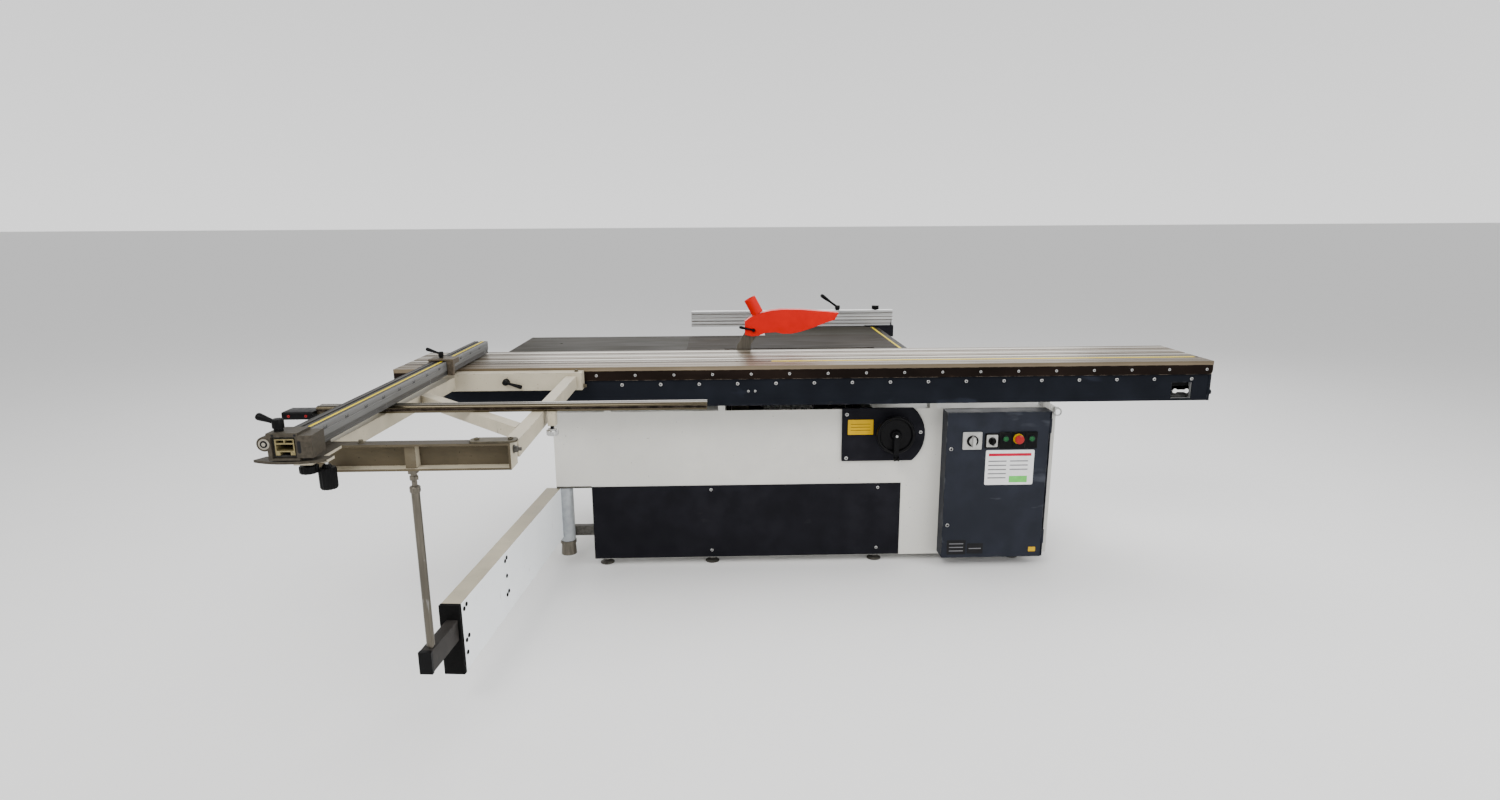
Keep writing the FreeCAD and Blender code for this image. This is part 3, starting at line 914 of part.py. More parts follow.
near_u = "blade_y + frame_near"
far_u = "blade_y + frame_far"
cradle = [
    slab("cradle_left", ("plate_in_left", "plate_in_left + plate_in_thick"), (near_u, far_u),
         ("table_top - frame_low", "table_top - frame_high")),
    slab("cradle_right", ("plate_in_right - plate_in_thick", "plate_in_right"), (near_u, far_u),
         ("table_top - frame_low", "table_top - frame_high")),
    slab("cradle_floor", ("plate_in_left", "plate_in_right"), (near_u, far_u),
         ("table_top - frame_low", "table_top - frame_low + plate_in_thick")),
    slab("cradle_bridge_left", ("plate_in_left", "column_one + column_r*2"),
         ("blade_y + column_y - column_r*1.5", far_u), ("table_top - frame_high - wall",
                                                        "table_top - frame_high")),
    slab("cradle_bridge_right", ("column_two - column_r*2", "plate_in_right"),
         ("blade_y + column_y - column_r*1.5", far_u), ("table_top - frame_high - wall",
                                                        "table_top - frame_high")),
]
for column in ("column_one", "column_two"):
    cradle.append(rod(column + "_bar", "column_r", "frame_low - frame_high - wall", column,
                      "blade_y + column_y",
                      "table_top - frame_low + gap"))
for index, (x, length) in enumerate((("hanger_left", "plate_in_left - hanger_left + gap"),
                                     ("plate_in_right - gap",
                                      "hanger_right + plate_in_thick - plate_in_right"))):
    cradle.append(rod("trunnion_shoe_%d" % index, "shoe_r", length, x, "blade_y + shoe_across",
                      "table_top - shoe_down", "x"))
scoring_arm = slab("scoring_arm", ("scoring_x - wall", "plate_in_right"), (near_u, near_u + " + wall*3"),
                   ("table_top - scoring_drop - wall*3", "table_top - scoring_drop + wall/2"))
scoring_house = rod("scoring_house", "arbor_r + wall", "frame_near + wall*2 - house_near", "scoring_x",
                    "blade_y + house_near", "table_top - scoring_drop", "y")
scoring_bore = rod("scoring_bore", "arbor_r + gap/5", "frame_near*3", "scoring_x", "blade_y",
                   "table_top - scoring_drop", "y")
node("tilt_cradle", cut("cradle_cut", fuse("cradle_hull", cradle + [scoring_arm, scoring_house]),
                        [scoring_bore]))
node("scoring_blade", fuse("scoring_set", [
    rod("scoring_disc", "scoring_r", "blade_thick", "scoring_x", "blade_y - blade_thick/2",
        "table_top - scoring_drop", "y"),
    rod("scoring_shaft", "arbor_r", "frame_near + wall*2", "scoring_x", "blade_y", "table_top - scoring_drop",
        "y")]))

arbor_z = "table_top - blade_drop"
motor_z = "table_top - motor_drop"
block_parts = [
    slab("rise_plate", ("column_one - column_r*3.5", "column_two + column_r*3.5"),
         ("blade_y + column_y - column_r*1.5", "blade_y + column_y + column_r*1.5"),
         ("table_top - block_low", "table_top - block_high")),
    rod("arbor_house", "house_r", "house_far - house_near", "blade_x", "blade_y + house_near", arbor_z, "y"),
    slab("knife_bracket", ("knife_left", "column_one"), ("blade_y + knife_thick", "blade_y + column_y"),
         ("table_top - block_low + wall*5", "table_top - block_low + wall*12")),
    slab("knife_pad", ("knife_left", "knife_left + wall*12"), ("blade_y + knife_thick/2",
                                                               "blade_y + knife_thick"),
         ("table_top - block_low + wall*5", "table_top - block_low + wall*12")),
    slab("motor_bracket", ("motor_x - motor_r*0.8", "motor_x + motor_r*0.8"),
         ("blade_y + column_y", "blade_y + motor_y + motor_long"),
         ("table_top - block_low", "table_top - block_low + wall*2.5")),
]
block_holes = [rod(column + "_hole", "column_bore", "frame_low", column, "blade_y + column_y",
                   "table_top - frame_low - wall") for column in ("column_one", "column_two")]
block_holes.append(rod("arbor_bore", "house_bore", "arbor_long*2", "blade_x", "blade_y", arbor_z, "y"))
rise_block = cut("rise_block_cut", fuse("rise_block_hull", block_parts), block_holes)
motor_items = [
    rod("motor_can", "motor_r", "motor_long", "motor_x", "blade_y + motor_y", motor_z, "y"),
    slab("motor_foot", ("motor_x - motor_r*0.6", "motor_x + motor_r*0.6"),
         ("blade_y + motor_y + wall", "blade_y + motor_y + motor_long - wall"),
         ("table_top - block_low + wall*2.5", motor_z)),
]
motor = cut("motor_cut", fuse("motor_hull", motor_items), [
    rod("motor_bore", "arbor_r + gap/5", "motor_long - wall*4", "motor_x", "blade_y + motor_y - wall",
        motor_z,
        "y")])
node("rise_block", group("rise_set", [rise_block, motor]))
node("motor_pulley", fuse("motor_pulley_set", [
    rod("motor_pulley_disc", "pulley_motor", "pulley_wide", "motor_x", "blade_y + pulley_y", motor_z, "y"),
    rod("motor_shaft", "arbor_r", "motor_y - pulley_y + motor_long/2", "motor_x", "blade_y + pulley_y",
        motor_z,
        "y")]))
arbor = [
    rod("blade_disc", "blade_r", "blade_thick", "blade_x", "blade_y - blade_thick/2", arbor_z, "y"),
    rod("arbor_shaft", "arbor_r", "arbor_long", "blade_x", "blade_y", arbor_z, "y"),
    rod("flange_near", "flange_r", "flange_thick", "blade_x", "blade_y - blade_thick/2 - flange_thick",
        arbor_z,
        "y"),
    rod("flange_far", "flange_r", "flange_thick", "blade_x", "blade_y + blade_thick/2", arbor_z, "y"),
    rod("arbor_pulley", "pulley_r", "pulley_wide", "blade_x", "blade_y + pulley_y", arbor_z, "y"),
]
node("saw_blade", fuse("arbor_set", arbor))

KNIFE_OUTLINE = [(-250, -300), (-172, -300), (-172, -50), (-164, 20), (-133, 66), (-138, 100), (-165, 104),
                 (-190, 75), (-225, 15), (-240, -50), (-250, -140)]
GUARD_OUTLINE = [(-190, 65), (-160, 59), (-133, 61), (-102, 73), (-58, 76), (-25, 69), (12, 69), (52, 77),
                 (105, 94), (160, 115), (200, 128), (217, 158), (138, 165), (50, 173), (-36, 174), (-80, 169),
                 (-110, 162), (-158, 146), (-190, 124)]
GUARD_HOLLOW = [(-186, 40), (200, 40), (200, 124), (210, 153), (138, 161), (50, 169), (-36, 170), (-80, 165),
                (-110, 158), (-155, 142), (-186, 121)]


def outline(points):
    return [(offset("blade_x", x), offset("table_top", z)) for x, z in points]


knife = prism("knife_blade", "xz", outline(KNIFE_OUTLINE), "knife_thick", "- blade_y - knife_thick/2")
node("riving_knife", cut("knife_cut", knife, [
    rod("knife_bore", "guard_pin_r + gap/5", "wall*2", "guard_pin_x", "blade_y - wall", "guard_pin_z", "y")]))
guard_shell = prism("guard_shell", "xz", outline(GUARD_OUTLINE), "guard_half*2", "- blade_y - guard_half")
guard_room = prism("guard_room", "xz", outline(GUARD_HOLLOW), "guard_half*2 - guard_skin*2",
                   "- blade_y - guard_half + guard_skin")
port = turned(rod("guard_port", "port_r", "port_long", "port_x", "blade_y", "port_z"), (0, -1, 0),
              "port_turn")
port_bore = turned(rod("guard_port_bore", "port_r - guard_skin", "port_long*1.5", "port_x", "blade_y",
                       "port_z"),
                   (0, -1, 0), "port_turn")
knife_slot = slab("guard_knife_slot", ("guard_pin_x - frame_near", "guard_pin_x + frame_near"),
                  ("blade_y - knife_thick - skin/2", "blade_y + knife_thick + skin/2"),
                  ("guard_pin_z - frame_near", "guard_pin_z + port_r"))
shell_cut = cut("guard_cut", fuse("guard_hull", [guard_shell, port]), [guard_room, port_bore, knife_slot])
guard_pin = rod("guard_pin", "guard_pin_r", "guard_half*2", "guard_pin_x", "blade_y - guard_half",
                "guard_pin_z", "y")
node("blade_guard", fuse("guard_joined", [shell_cut, guard_pin]))
node("guard_lever", fuse("guard_lever_set", [
    rod("guard_lever_hub", "guard_pin_r*2", "wall*2", "guard_pin_x", "blade_y - guard_half - wall*2 - gap",
        "guard_pin_z", "y"),
    turned(rod("guard_lever_bar", "guard_lever_r", "guard_lever_long", "guard_pin_x",
               "blade_y - guard_half - wall - gap", "guard_pin_z", thin="guard_lever_r*0.7"),
           (0, -1, 0), "guard_lever_turn")]))

# ---------------------------------------------------------------- export
doc.recompute()
os.makedirs("parts", exist_ok=True)
for label, item in NODES:
    if "Invalid" in item.State or "Error" in item.State or not item.Shape.isValid():
        raise ValueError("%s did not build: %s" % (label, item.State))
    item.Shape.exportStep("parts/%s.step" % label)
bounds = FreeCAD.BoundBox()
for label, item in NODES:
    bounds.add(item.Shape.BoundBox)
print("%d sub-parts, %.1f x %.1f x %.1f mm, centre %.2f %.2f" % (
    len(NODES), bounds.XLength, bounds.YLength, bounds.ZLength, bounds.Center.x, bounds.Center.y))
doc.saveAs("panel_saw.FCStd")
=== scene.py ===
"""Looks of a sliding-table panel saw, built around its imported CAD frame.

Everything is in metres in the frame's own axes: +X along the sliding table, +Y away from the operator, +Z up.
Places come from the CAD nodes' boxes. Pieces are built from a few mesh builders (block, extrusion, lathe) or
are softened copies of the CAD nodes, and each has a node-based material.
"""

import json
import math

import bmesh
import bpy
from mathutils import Matrix, Vector
from mathutils.geometry import tessellate_polygon


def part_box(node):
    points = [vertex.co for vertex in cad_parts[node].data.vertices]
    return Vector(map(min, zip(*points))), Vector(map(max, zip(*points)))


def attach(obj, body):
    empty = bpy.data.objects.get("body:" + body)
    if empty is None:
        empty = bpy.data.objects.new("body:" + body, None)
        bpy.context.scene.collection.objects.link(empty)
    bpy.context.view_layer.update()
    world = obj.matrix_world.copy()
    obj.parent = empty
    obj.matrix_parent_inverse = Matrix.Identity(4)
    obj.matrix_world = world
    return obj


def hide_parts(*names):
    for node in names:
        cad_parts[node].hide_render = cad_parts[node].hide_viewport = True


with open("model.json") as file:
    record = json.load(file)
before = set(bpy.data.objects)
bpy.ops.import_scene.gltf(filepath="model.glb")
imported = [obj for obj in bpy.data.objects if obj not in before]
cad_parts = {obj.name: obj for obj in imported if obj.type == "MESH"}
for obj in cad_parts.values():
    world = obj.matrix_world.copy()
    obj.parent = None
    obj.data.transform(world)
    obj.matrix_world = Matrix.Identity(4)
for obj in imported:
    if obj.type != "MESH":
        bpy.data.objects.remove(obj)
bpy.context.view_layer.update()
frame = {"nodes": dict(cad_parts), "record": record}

NODES = frame["nodes"]
BODY_OF = {node: body for body, nodes in frame["record"]["behaviour"]["bodies"].items() for node in nodes}
SLOT_OF = {part["node"]: part["material_slot"] for part in frame["record"]["subparts"]}
X, Y, Z = Vector((1, 0, 0)), Vector((0, 1, 0)), Vector((0, 0, 1))
MM = 0.001
MERGE = 1e-6          # corners of a new piece closer than this become one
WELD = 2e-5           # the same for a copy of a CAD node, whose faces come unjoined
FLAT = math.radians(0.6)    # faces within this of each other are one face again
CREASE = math.radians(35)   # edges sharper than this stay sharp and are softened
TICK_STEP = 10 * MM
FLOOR_REACH = 200.0

# ------------------------------------------------------------------ camera, floor and light
CAMERA_AT = Vector((-0.2822, -3.0805, 1.4475))
YAW, PITCH, ROLL = math.radians(1.49), math.radians(12.54), math.radians(-0.336)
LENS = 19.29


def show(name, data):
    """A scene object that holds the data."""
    obj = bpy.data.objects.new(name, data)
    bpy.context.scene.collection.objects.link(obj)
    return obj


def add_camera():
    forward = Vector((math.sin(YAW) * math.cos(PITCH), math.cos(YAW) * math.cos(PITCH), -math.sin(PITCH)))
    level = Vector((math.cos(YAW), -math.sin(YAW), 0))
    rise = level.cross(forward)
    right = level * math.cos(ROLL) + rise * math.sin(ROLL)
    up = rise * math.cos(ROLL) - level * math.sin(ROLL)
    data = bpy.data.cameras.new("camera")
    data.lens = LENS
    data.clip_start = 0.05
    camera = show("camera", data)
    camera.matrix_world = Matrix.Translation(CAMERA_AT) @ Matrix((right, up, -forward)).transposed().to_4x4()
    bpy.context.scene.camera = camera


def add_light(name, at, target, size, power, colour=(1, 1, 1)):
    data = bpy.data.lights.new(name, "AREA")
    data.shape = "RECTANGLE"
    data.size, data.size_y = size
    data.energy = power
    data.color = colour
    lamp = show(name, data)
    lamp.location = at
    lamp.rotation_euler = (Vector(target) - Vector(at)).to_track_quat("-Z", "Y").to_euler()


def map_range(tree, source, low, high, out_low=0.0, out_high=1.0):
    """Node that maps low..high to out_low..out_high, and stops at those ends."""
    rise = tree.nodes.new("ShaderNodeMapRange")
    for socket, value in (("From Min", low), ("From Max", high), ("To Min", out_low), ("To Max", out_high)):
        rise.inputs[socket].default_value = value
    tree.links.new(source, rise.inputs["Value"])
    return rise.outputs["Result"]


def add_world():
    """Studio surround: white near the horizon, a little dimmer overhead."""
    world = bpy.data.worlds.new("studio")
    world.use_nodes = True
    nodes, links = world.node_tree.nodes, world.node_tree.links
    place = nodes.new("ShaderNodeTexCoord")
    split = nodes.new("ShaderNodeSeparateXYZ")
    links.new(place.outputs["Generated"], split.inputs["Vector"])
    strength = map_range(world.node_tree, split.outputs["Z"], 0.0, 0.8, 1.45, 0.60)
    links.new(strength, nodes["Background"].inputs["Strength"])
    nodes["Background"].inputs["Color"].default_value = (1, 1, 1, 1)
    bpy.context.scene.world = world


add_camera()
add_light("key", (-2.4, -4.0, 4.6), (0, 0, 0.6), (3.2, 2.2), 210, (1.0, 0.985, 0.96))
add_light("top", (0.6, 1.0, 4.6), (0, 0.2, 0.8), (6, 3.0), 170)
add_light("fill", (3.8, -3.6, 3.0), (-0.8, -0.6, 0.4), (4.0, 3.0), 120)
add_light("back", (0.5, 5.4, 2.6), (0, 0, 0.8), (6, 2.5), 90)
add_world()


# ------------------------------------------------------------------ materials
def material(name, colour, rough, metal=0.0, vary=0.12, grain=40.0, stretch=(1, 1, 1), bump=0.1, scuff=0.0,
        scuff_colour=None, coat=0.0, spec=0.5, speck=0.0, edge=0.0, edge_colour=(0.2, 0.19, 0.18), bands=0.0):
    """A procedural finish. vary is how far the colour wanders, grain its fineness per metre, stretch the
    grain's run along each axis, bump its height, scuff the share of scratches, spec how shiny a paint is, speck
    the share of dark dots, edge the wear at corners, and bands the depth of broad streaks along the grain."""
    made = bpy.data.materials.new(name)
    made.use_nodes = True
    tree = made.node_tree
    nodes, links = tree.nodes, tree.links
    shader = nodes["Principled BSDF"]
    shader.inputs["Metallic"].default_value = metal
    shader.inputs["Coat Weight"].default_value = coat
    shader.inputs["Specular IOR Level"].default_value = spec
    place = nodes.new("ShaderNodeTexCoord")
    scale = nodes.new("ShaderNodeMapping")
    scale.inputs["Scale"].default_value = stretch
    links.new(place.outputs["Object"], scale.inputs["Vector"])

    def noise(size, detail, source=scale.outputs["Vector"]):
        texture = nodes.new("ShaderNodeTexNoise")
        texture.inputs["Scale"].default_value = size
        texture.inputs["Detail"].default_value = detail
        links.new(source, texture.inputs["Vector"])
        return texture.outputs["Fac"]

    def ramp(*values):
        return map_range(tree, *values)

    def times(first, second):
        product = nodes.new("ShaderNodeMath")
        product.operation = "MULTIPLY"
        product.use_clamp = True
        for socket, value in zip(product.inputs, (first, second)):
            if isinstance(value, bpy.types.NodeSocket):
                links.new(value, socket)
            else:
                socket.default_value = value
        return product.outputs["Value"]

    def mix(factor, first, second):
        blend = nodes.new("ShaderNodeMix")
        blend.data_type = "RGBA"
        links.new(factor, blend.inputs["Factor"])
        for socket, value in ((blend.inputs["A"], first), (blend.inputs["B"], second)):
            if isinstance(value, bpy.types.NodeSocket):
                links.new(value, socket)
            else:
                socket.default_value = (*value, 1)
        return blend.outputs["Result"]

    base = Vector(colour)
    fine = noise(grain, 6)
    broad = noise(3.0, 3, place.outputs["Object"])
    tint = mix(ramp(fine, 0.35, 0.65), base * (1 - vary), base * (1 + vary))
    tint = mix(ramp(broad, 0.4, 0.75), tint, base * (1 - vary * 1.5))
    if bands:
        tint = mix(ramp(noise(grain * 0.12, 1), 0.42, 0.60, 0, 0.85), tint, base * (1 - bands))
    if scuff:
        for turn, width in (((0.3, 0.9, 0.5), 46), ((1.2, -0.4, 0.8), 70)):
            bent = nodes.new("ShaderNodeMapping")
            bent.inputs["Rotation"].default_value = turn
            bent.inputs["Scale"].default_value = (3, width, 9)
            links.new(place.outputs["Object"], bent.inputs["Vector"])
            marks = ramp(noise(1.5, 3, bent.outputs["Vector"]), 0.72 - scuff * 0.08, 0.78 - scuff * 0.08)
            patch = ramp(noise(4.0, 2, place.outputs["Object"]), 0.5, 0.68)
            tint = mix(times(marks, patch), tint, scuff_colour or base * 0.4 + Vector((0.25, 0.25, 0.25)))
    if speck:
        tint = mix(ramp(noise(140.0, 2, place.outputs["Object"]), 0.75 - speck * 0.12, 0.79), tint,
            base * 0.3)
    if edge:
        soft = nodes.new("ShaderNodeBevel")
        soft.samples = 4
        soft.inputs["Radius"].default_value = 0.004
        flat = nodes.new("ShaderNodeNewGeometry")
        near = nodes.new("ShaderNodeVectorMath")
        near.operation = "DOT_PRODUCT"
        links.new(soft.outputs["Normal"], near.inputs[0])
        links.new(flat.outputs["Normal"], near.inputs[1])
        worn = times(ramp(near.outputs["Value"], 0.97, 0.86), ramp(noise(26.0, 5, place.outputs["Object"]),
            0.62 - edge * 0.2, 0.66 - edge * 0.12))
        tint = mix(worn, tint, edge_colour)
    links.new(tint, shader.inputs["Base Color"])
    links.new(ramp(fine, 0.3, 0.7, max(0.05, rough - 0.06), min(1.0, rough + 0.08)),
        shader.inputs["Roughness"])
    relief = nodes.new("ShaderNodeBump")
    relief.inputs["Strength"].default_value = bump
    relief.inputs["Distance"].default_value = 0.001
    links.new(noise(grain * 4, 4), relief.inputs["Height"])
    links.new(relief.outputs["Normal"], shader.inputs["Normal"])
    return made


DARK_MARK = (0.16, 0.15, 0.13)
ENAMEL = material("enamel", (0.60, 0.59, 0.55), 0.42, vary=0.03, grain=12, bump=0.04, scuff=0.3,
    scuff_colour=(0.45, 0.43, 0.39), spec=0.3, speck=0.1, edge=0.3, edge_colour=(0.35, 0.33, 0.3))
# Brighter, bluer white for the arm's sides: a lit copy of the enamel, painted light.
ARM_LIT_WHITE = material("arm_white_painted_light", (0.93, 0.96, 0.98), 0.40, vary=0.02, grain=12, bump=0.04, scuff=0.3,
    scuff_colour=(0.5, 0.5, 0.5), spec=0.3, edge=0.3, edge_colour=(0.3, 0.3, 0.3))
CREAM = material("cream_paint", (0.44, 0.395, 0.30), 0.48, vary=0.08, grain=16, bump=0.06, scuff=0.8,
    scuff_colour=DARK_MARK, spec=0.25, speck=0.6, edge=0.9, edge_colour=(0.07, 0.055, 0.04))
# Dark olive-grey for the web inside the outrigger channel: painted shade, for the shadow the channel's flanges
# cast on it.
SHADE = material("channel_web_painted_shade", (0.085, 0.070, 0.046), 0.6, vary=0.2, grain=10, bump=0.06, scuff=0.8,
    scuff_colour=(0.12, 0.105, 0.075), spec=0.05, speck=0.4)
PANEL = material("dark_panel", (0.0105, 0.0105, 0.0135), 0.55, vary=0.2, grain=14, bump=0.06, scuff=0.7,
    scuff_colour=(0.03, 0.03, 0.034), spec=0.03, edge=0.5, edge_colour=(0.05, 0.05, 0.05))
CABINET = material("cabinet_paint", (0.0180, 0.0205, 0.0285), 0.45, vary=0.15, grain=14, bump=0.06, scuff=0.9,
    scuff_colour=(0.06, 0.065, 0.08), spec=0.08, edge=0.6, edge_colour=(0.10, 0.105, 0.11))
BEAM_PAINT = material("beam_paint", (0.0080, 0.0095, 0.0135), 0.5, vary=0.2, grain=9, bump=0.04, scuff=0.9,
    scuff_colour=(0.02, 0.024, 0.036), spec=0.04, edge=0.5, edge_colour=(0.07, 0.07, 0.08))
# Brown-black paint of the carriage's cover strip; also used as painted shade in the support bar's slot.
STRIP_AND_SLOT_SHADE = material("strip_paint", (0.0110, 0.0068, 0.0050), 0.5, vary=0.4, grain=8, stretch=(0.3, 1, 1),
    bump=0.06, scuff=1.0, scuff_colour=(0.045, 0.030, 0.020), spec=0.04, edge=0.9,
    edge_colour=(0.16, 0.13, 0.10))
CARRIAGE = material("carriage_aluminium", (0.20, 0.158, 0.105), 0.38, 0.55, vary=0.22, grain=230,
    stretch=(0.004, 1, 1), bump=0.05, spec=0.2, bands=0.55)
# Dark finish for the carriage's grooves and T-slot sides and the rip fence's groove stripes: painted shade in
# the recesses.
GROOVE_SHADE = material("groove_painted_shade", (0.060, 0.045, 0.030), 0.5, 0.3, vary=0.3, grain=230,
    stretch=(0.004, 1, 1), bump=0.05, spec=0.1)
# Bright finish: a painted highlight on some lands of the carriage top, and the bright metal of the casting's
# ear screw.
BRIGHT_METAL_AND_HIGHLIGHT = material("land_metal_and_painted_highlight", (0.40, 0.365, 0.30), 0.32, 0.6, vary=0.2, grain=230, stretch=(0.004, 1, 1),
    bump=0.05, spec=0.25, bands=0.35)
ARM_DARK = material("arm_dark_grey", (0.034, 0.031, 0.029), 0.5, vary=0.3, grain=30, bump=0.08, scuff=0.6,
    scuff_colour=(0.12, 0.11, 0.10), spec=0.08)
SLEEVE = material("sleeve_grey", (0.36, 0.38, 0.40), 0.38, 0.3, vary=0.15, grain=40, bump=0.06, scuff=0.5,
    scuff_colour=(0.15, 0.15, 0.15), spec=0.3)
RAIL_DARK = material("rail_dark", (0.014, 0.012, 0.010), 0.5, 0.2, vary=0.3, grain=60, bump=0.06, spec=0.06)
FOOT = material("foot_steel", (0.10, 0.095, 0.085), 0.5, 0.5, vary=0.3, grain=80, bump=0.2, spec=0.2)
MITRE = material("mitre_extrusion", (0.047, 0.045, 0.041), 0.5, 0.5, vary=0.2, grain=230,
    stretch=(1, 0.006, 1), bump=0.05, scuff=0.5, scuff_colour=(0.05, 0.045, 0.045), spec=0.15, bands=0.35)
MITRE_FACE = material("mitre_face", (0.150, 0.150, 0.146), 0.5, 0.35, vary=0.1, grain=160,
    stretch=(1, 0.01, 1), bump=0.05, scuff=0.6, scuff_colour=(0.1, 0.095, 0.12), spec=0.2, bands=0.15)
# Darker finish for the recessed lower strip of the fence's face: painted shade.
MITRE_LOW_SHADE = material("mitre_foot_painted_shade", (0.085, 0.083, 0.078), 0.5, 0.4, vary=0.2, grain=160, stretch=(1, 0.01, 1),
    bump=0.05, scuff=0.5, spec=0.15)
EXTRUSION_X = material("extrusion_along_x", (0.60, 0.61, 0.61), 0.36, 0.5, vary=0.2, grain=230,
    stretch=(0.004, 1, 1), bump=0.05, bands=0.35)
BAR = material("polished_bar", (0.082, 0.068, 0.043), 0.24, 0.9, vary=0.15, grain=200, stretch=(0.004, 1, 1),
    bump=0.04, bands=0.55)
CASTING = material("sand_casting", (0.060, 0.051, 0.038), 0.55, 0.4, vary=0.28, grain=110, bump=0.35,
    scuff=0.5, scuff_colour=(0.04, 0.035, 0.03), spec=0.2)
STOP_CASTING = material("brown_casting", (0.075, 0.060, 0.042), 0.5, 0.4, vary=0.3, grain=100, bump=0.35,
    spec=0.2)
GOLD = material("inner_profile", (0.26, 0.215, 0.10), 0.45, 0.5, vary=0.25, grain=120, bump=0.15)
IRON = material("cast_iron", (0.05, 0.048, 0.048), 0.6, 0.4, vary=0.2, grain=90, bump=0.35, spec=0.2)
TABLE = material("ground_iron", (0.021, 0.015, 0.009), 0.55, 0.1, vary=0.25, grain=30, stretch=(0.12, 1, 1),
    bump=0.05, scuff=0.8, scuff_colour=(0.13, 0.11, 0.08), spec=0.03, bands=0.3)
SHEET = material("table_sheet", (0.029, 0.026, 0.020), 0.55, 0.1, vary=0.2, grain=18, stretch=(0.2, 1, 1),
    bump=0.04, scuff=0.6, scuff_colour=(0.12, 0.115, 0.10), spec=0.03)
STEEL = material("bright_steel", (0.48, 0.48, 0.47), 0.28, 0.9, vary=0.15, grain=120, bump=0.08, speck=0.3)
TURNED = material("turned_steel", (0.125, 0.112, 0.090), 0.38, 0.8, vary=0.25, grain=260,
    stretch=(1, 1, 0.05), bump=0.08, scuff=0.5)
WORN = material("worn_steel", (0.11, 0.095, 0.065), 0.5, 0.6, vary=0.45, grain=50, bump=0.2, speck=0.7,
    scuff=0.8, scuff_colour=(0.35, 0.31, 0.24), spec=0.2)
BLACK = material("black_plastic", (0.0022, 0.0022, 0.0026), 0.42, vary=0.3, grain=90, bump=0.12, spec=0.10,
    edge=0.4, edge_colour=(0.025, 0.025, 0.025))
RUBBER = material("black_rubber", (0.005, 0.005, 0.005), 0.75, vary=0.3, grain=120, bump=0.3, spec=0.06)
GREY_PLASTIC = material("grey_plastic", (0.40, 0.40, 0.385), 0.42, vary=0.08, grain=60, bump=0.08, spec=0.3)
WHITE_PLASTIC = material("white_plastic", (0.72, 0.72, 0.71), 0.35, vary=0.05, grain=60, bump=0.05, spec=0.3)
ORANGE = material("guard_orange", (0.62, 0.003, 0.0), 0.42, vary=0.08, grain=22, bump=0.05, scuff=0.5,
    scuff_colour=(0.60, 0.03, 0.005), spec=0.12, edge=0.3, edge_colour=(0.62, 0.05, 0.01))
GREEN, RED = (material(name, colour, 0.3, vary=0.1, grain=60, bump=0.04, coat=0.2, spec=0.2) for name,
    colour in (("button_green", (0.0, 0.075, 0.016)), ("button_red", (0.30, 0.0, 0.002))))
YELLOW = material("signal_yellow", (0.58, 0.35, 0.0), 0.45, vary=0.06, grain=40, bump=0.04, spec=0.1)
TAPE = material("scale_tape", (0.62, 0.47, 0.0), 0.5, vary=0.12, grain=30, bump=0.04, spec=0.08)
# Dark print; also painted shade in screw drives, the door lock's recess and key slot, and the casting's slot
# and ribs.
PRINT_AND_SHADE = material("dark_print_and_painted_shade", (0.012, 0.012, 0.013), 0.5, vary=0.1, grain=60, bump=0.02, spec=0.1)
PAPER = material("label_paper", (0.72, 0.72, 0.72), 0.4, vary=0.04, grain=40, bump=0.02, spec=0.2)
GREY_PRINT = material("label_grey", (0.16, 0.16, 0.17), 0.45, vary=0.1, grain=40, bump=0.02, spec=0.15)
PINK = material("label_pink", (0.45, 0.0, 0.03), 0.45, vary=0.08, grain=40, bump=0.02, spec=0.15)
LIME = material("label_green", (0.12, 0.50, 0.10), 0.45, vary=0.08, grain=40, bump=0.02, spec=0.15)
FLOOR = material("floor", (0.90, 0.90, 0.90), 0.7, vary=0.01, grain=3, bump=0.01, spec=0.1)


# ------------------------------------------------------------------ mesh builders
def block(bm, low, high):
    """Closed box between two corners."""
    corners = [bm.verts.new((x, y, z)) for x in (low[0], high[0]) for y in (low[1], high[1])
        for z in (low[2], high[2])]
    return [bm.faces.new([corners[index] for index in face]) for face in ((0, 1, 3, 2), (4, 6, 7, 5),
        (0, 4, 5, 1), (2, 3, 7, 6), (0, 2, 6, 4), (1, 5, 7, 3))]


PLACE = {"x": lambda a, b, t: (t, a, b), "y": lambda a, b, t: (a, t, b), "z": lambda a, b, t: (a, b, t)}


def extrusion(bm, outline, axis, start, stop, holes=()):
    """Outline, less its holes, run straight along an axis. Outlines are (first, second) other-axis pairs."""
    loops = [list(outline)] + [list(hole) for hole in holes]
    triangles = tessellate_polygon([[Vector((a, b, 0)) for a, b in loop] for loop in loops])
    ends = [[bm.verts.new(PLACE[axis](a, b, t)) for loop in loops for a, b in loop] for t in (start, stop)]
    made = []
    for end in ends:
        for triangle in triangles:
            made.append(bm.faces.new([end[index] for index in triangle]))
    first = 0
    for loop in loops:
        for index in range(len(loop)):
            here, there = first + index, first + (index + 1) % len(loop)
            made.append(bm.faces.new((ends[0][here], ends[0][there], ends[1][there], ends[1][here])))
        first += len(loop)
    return made


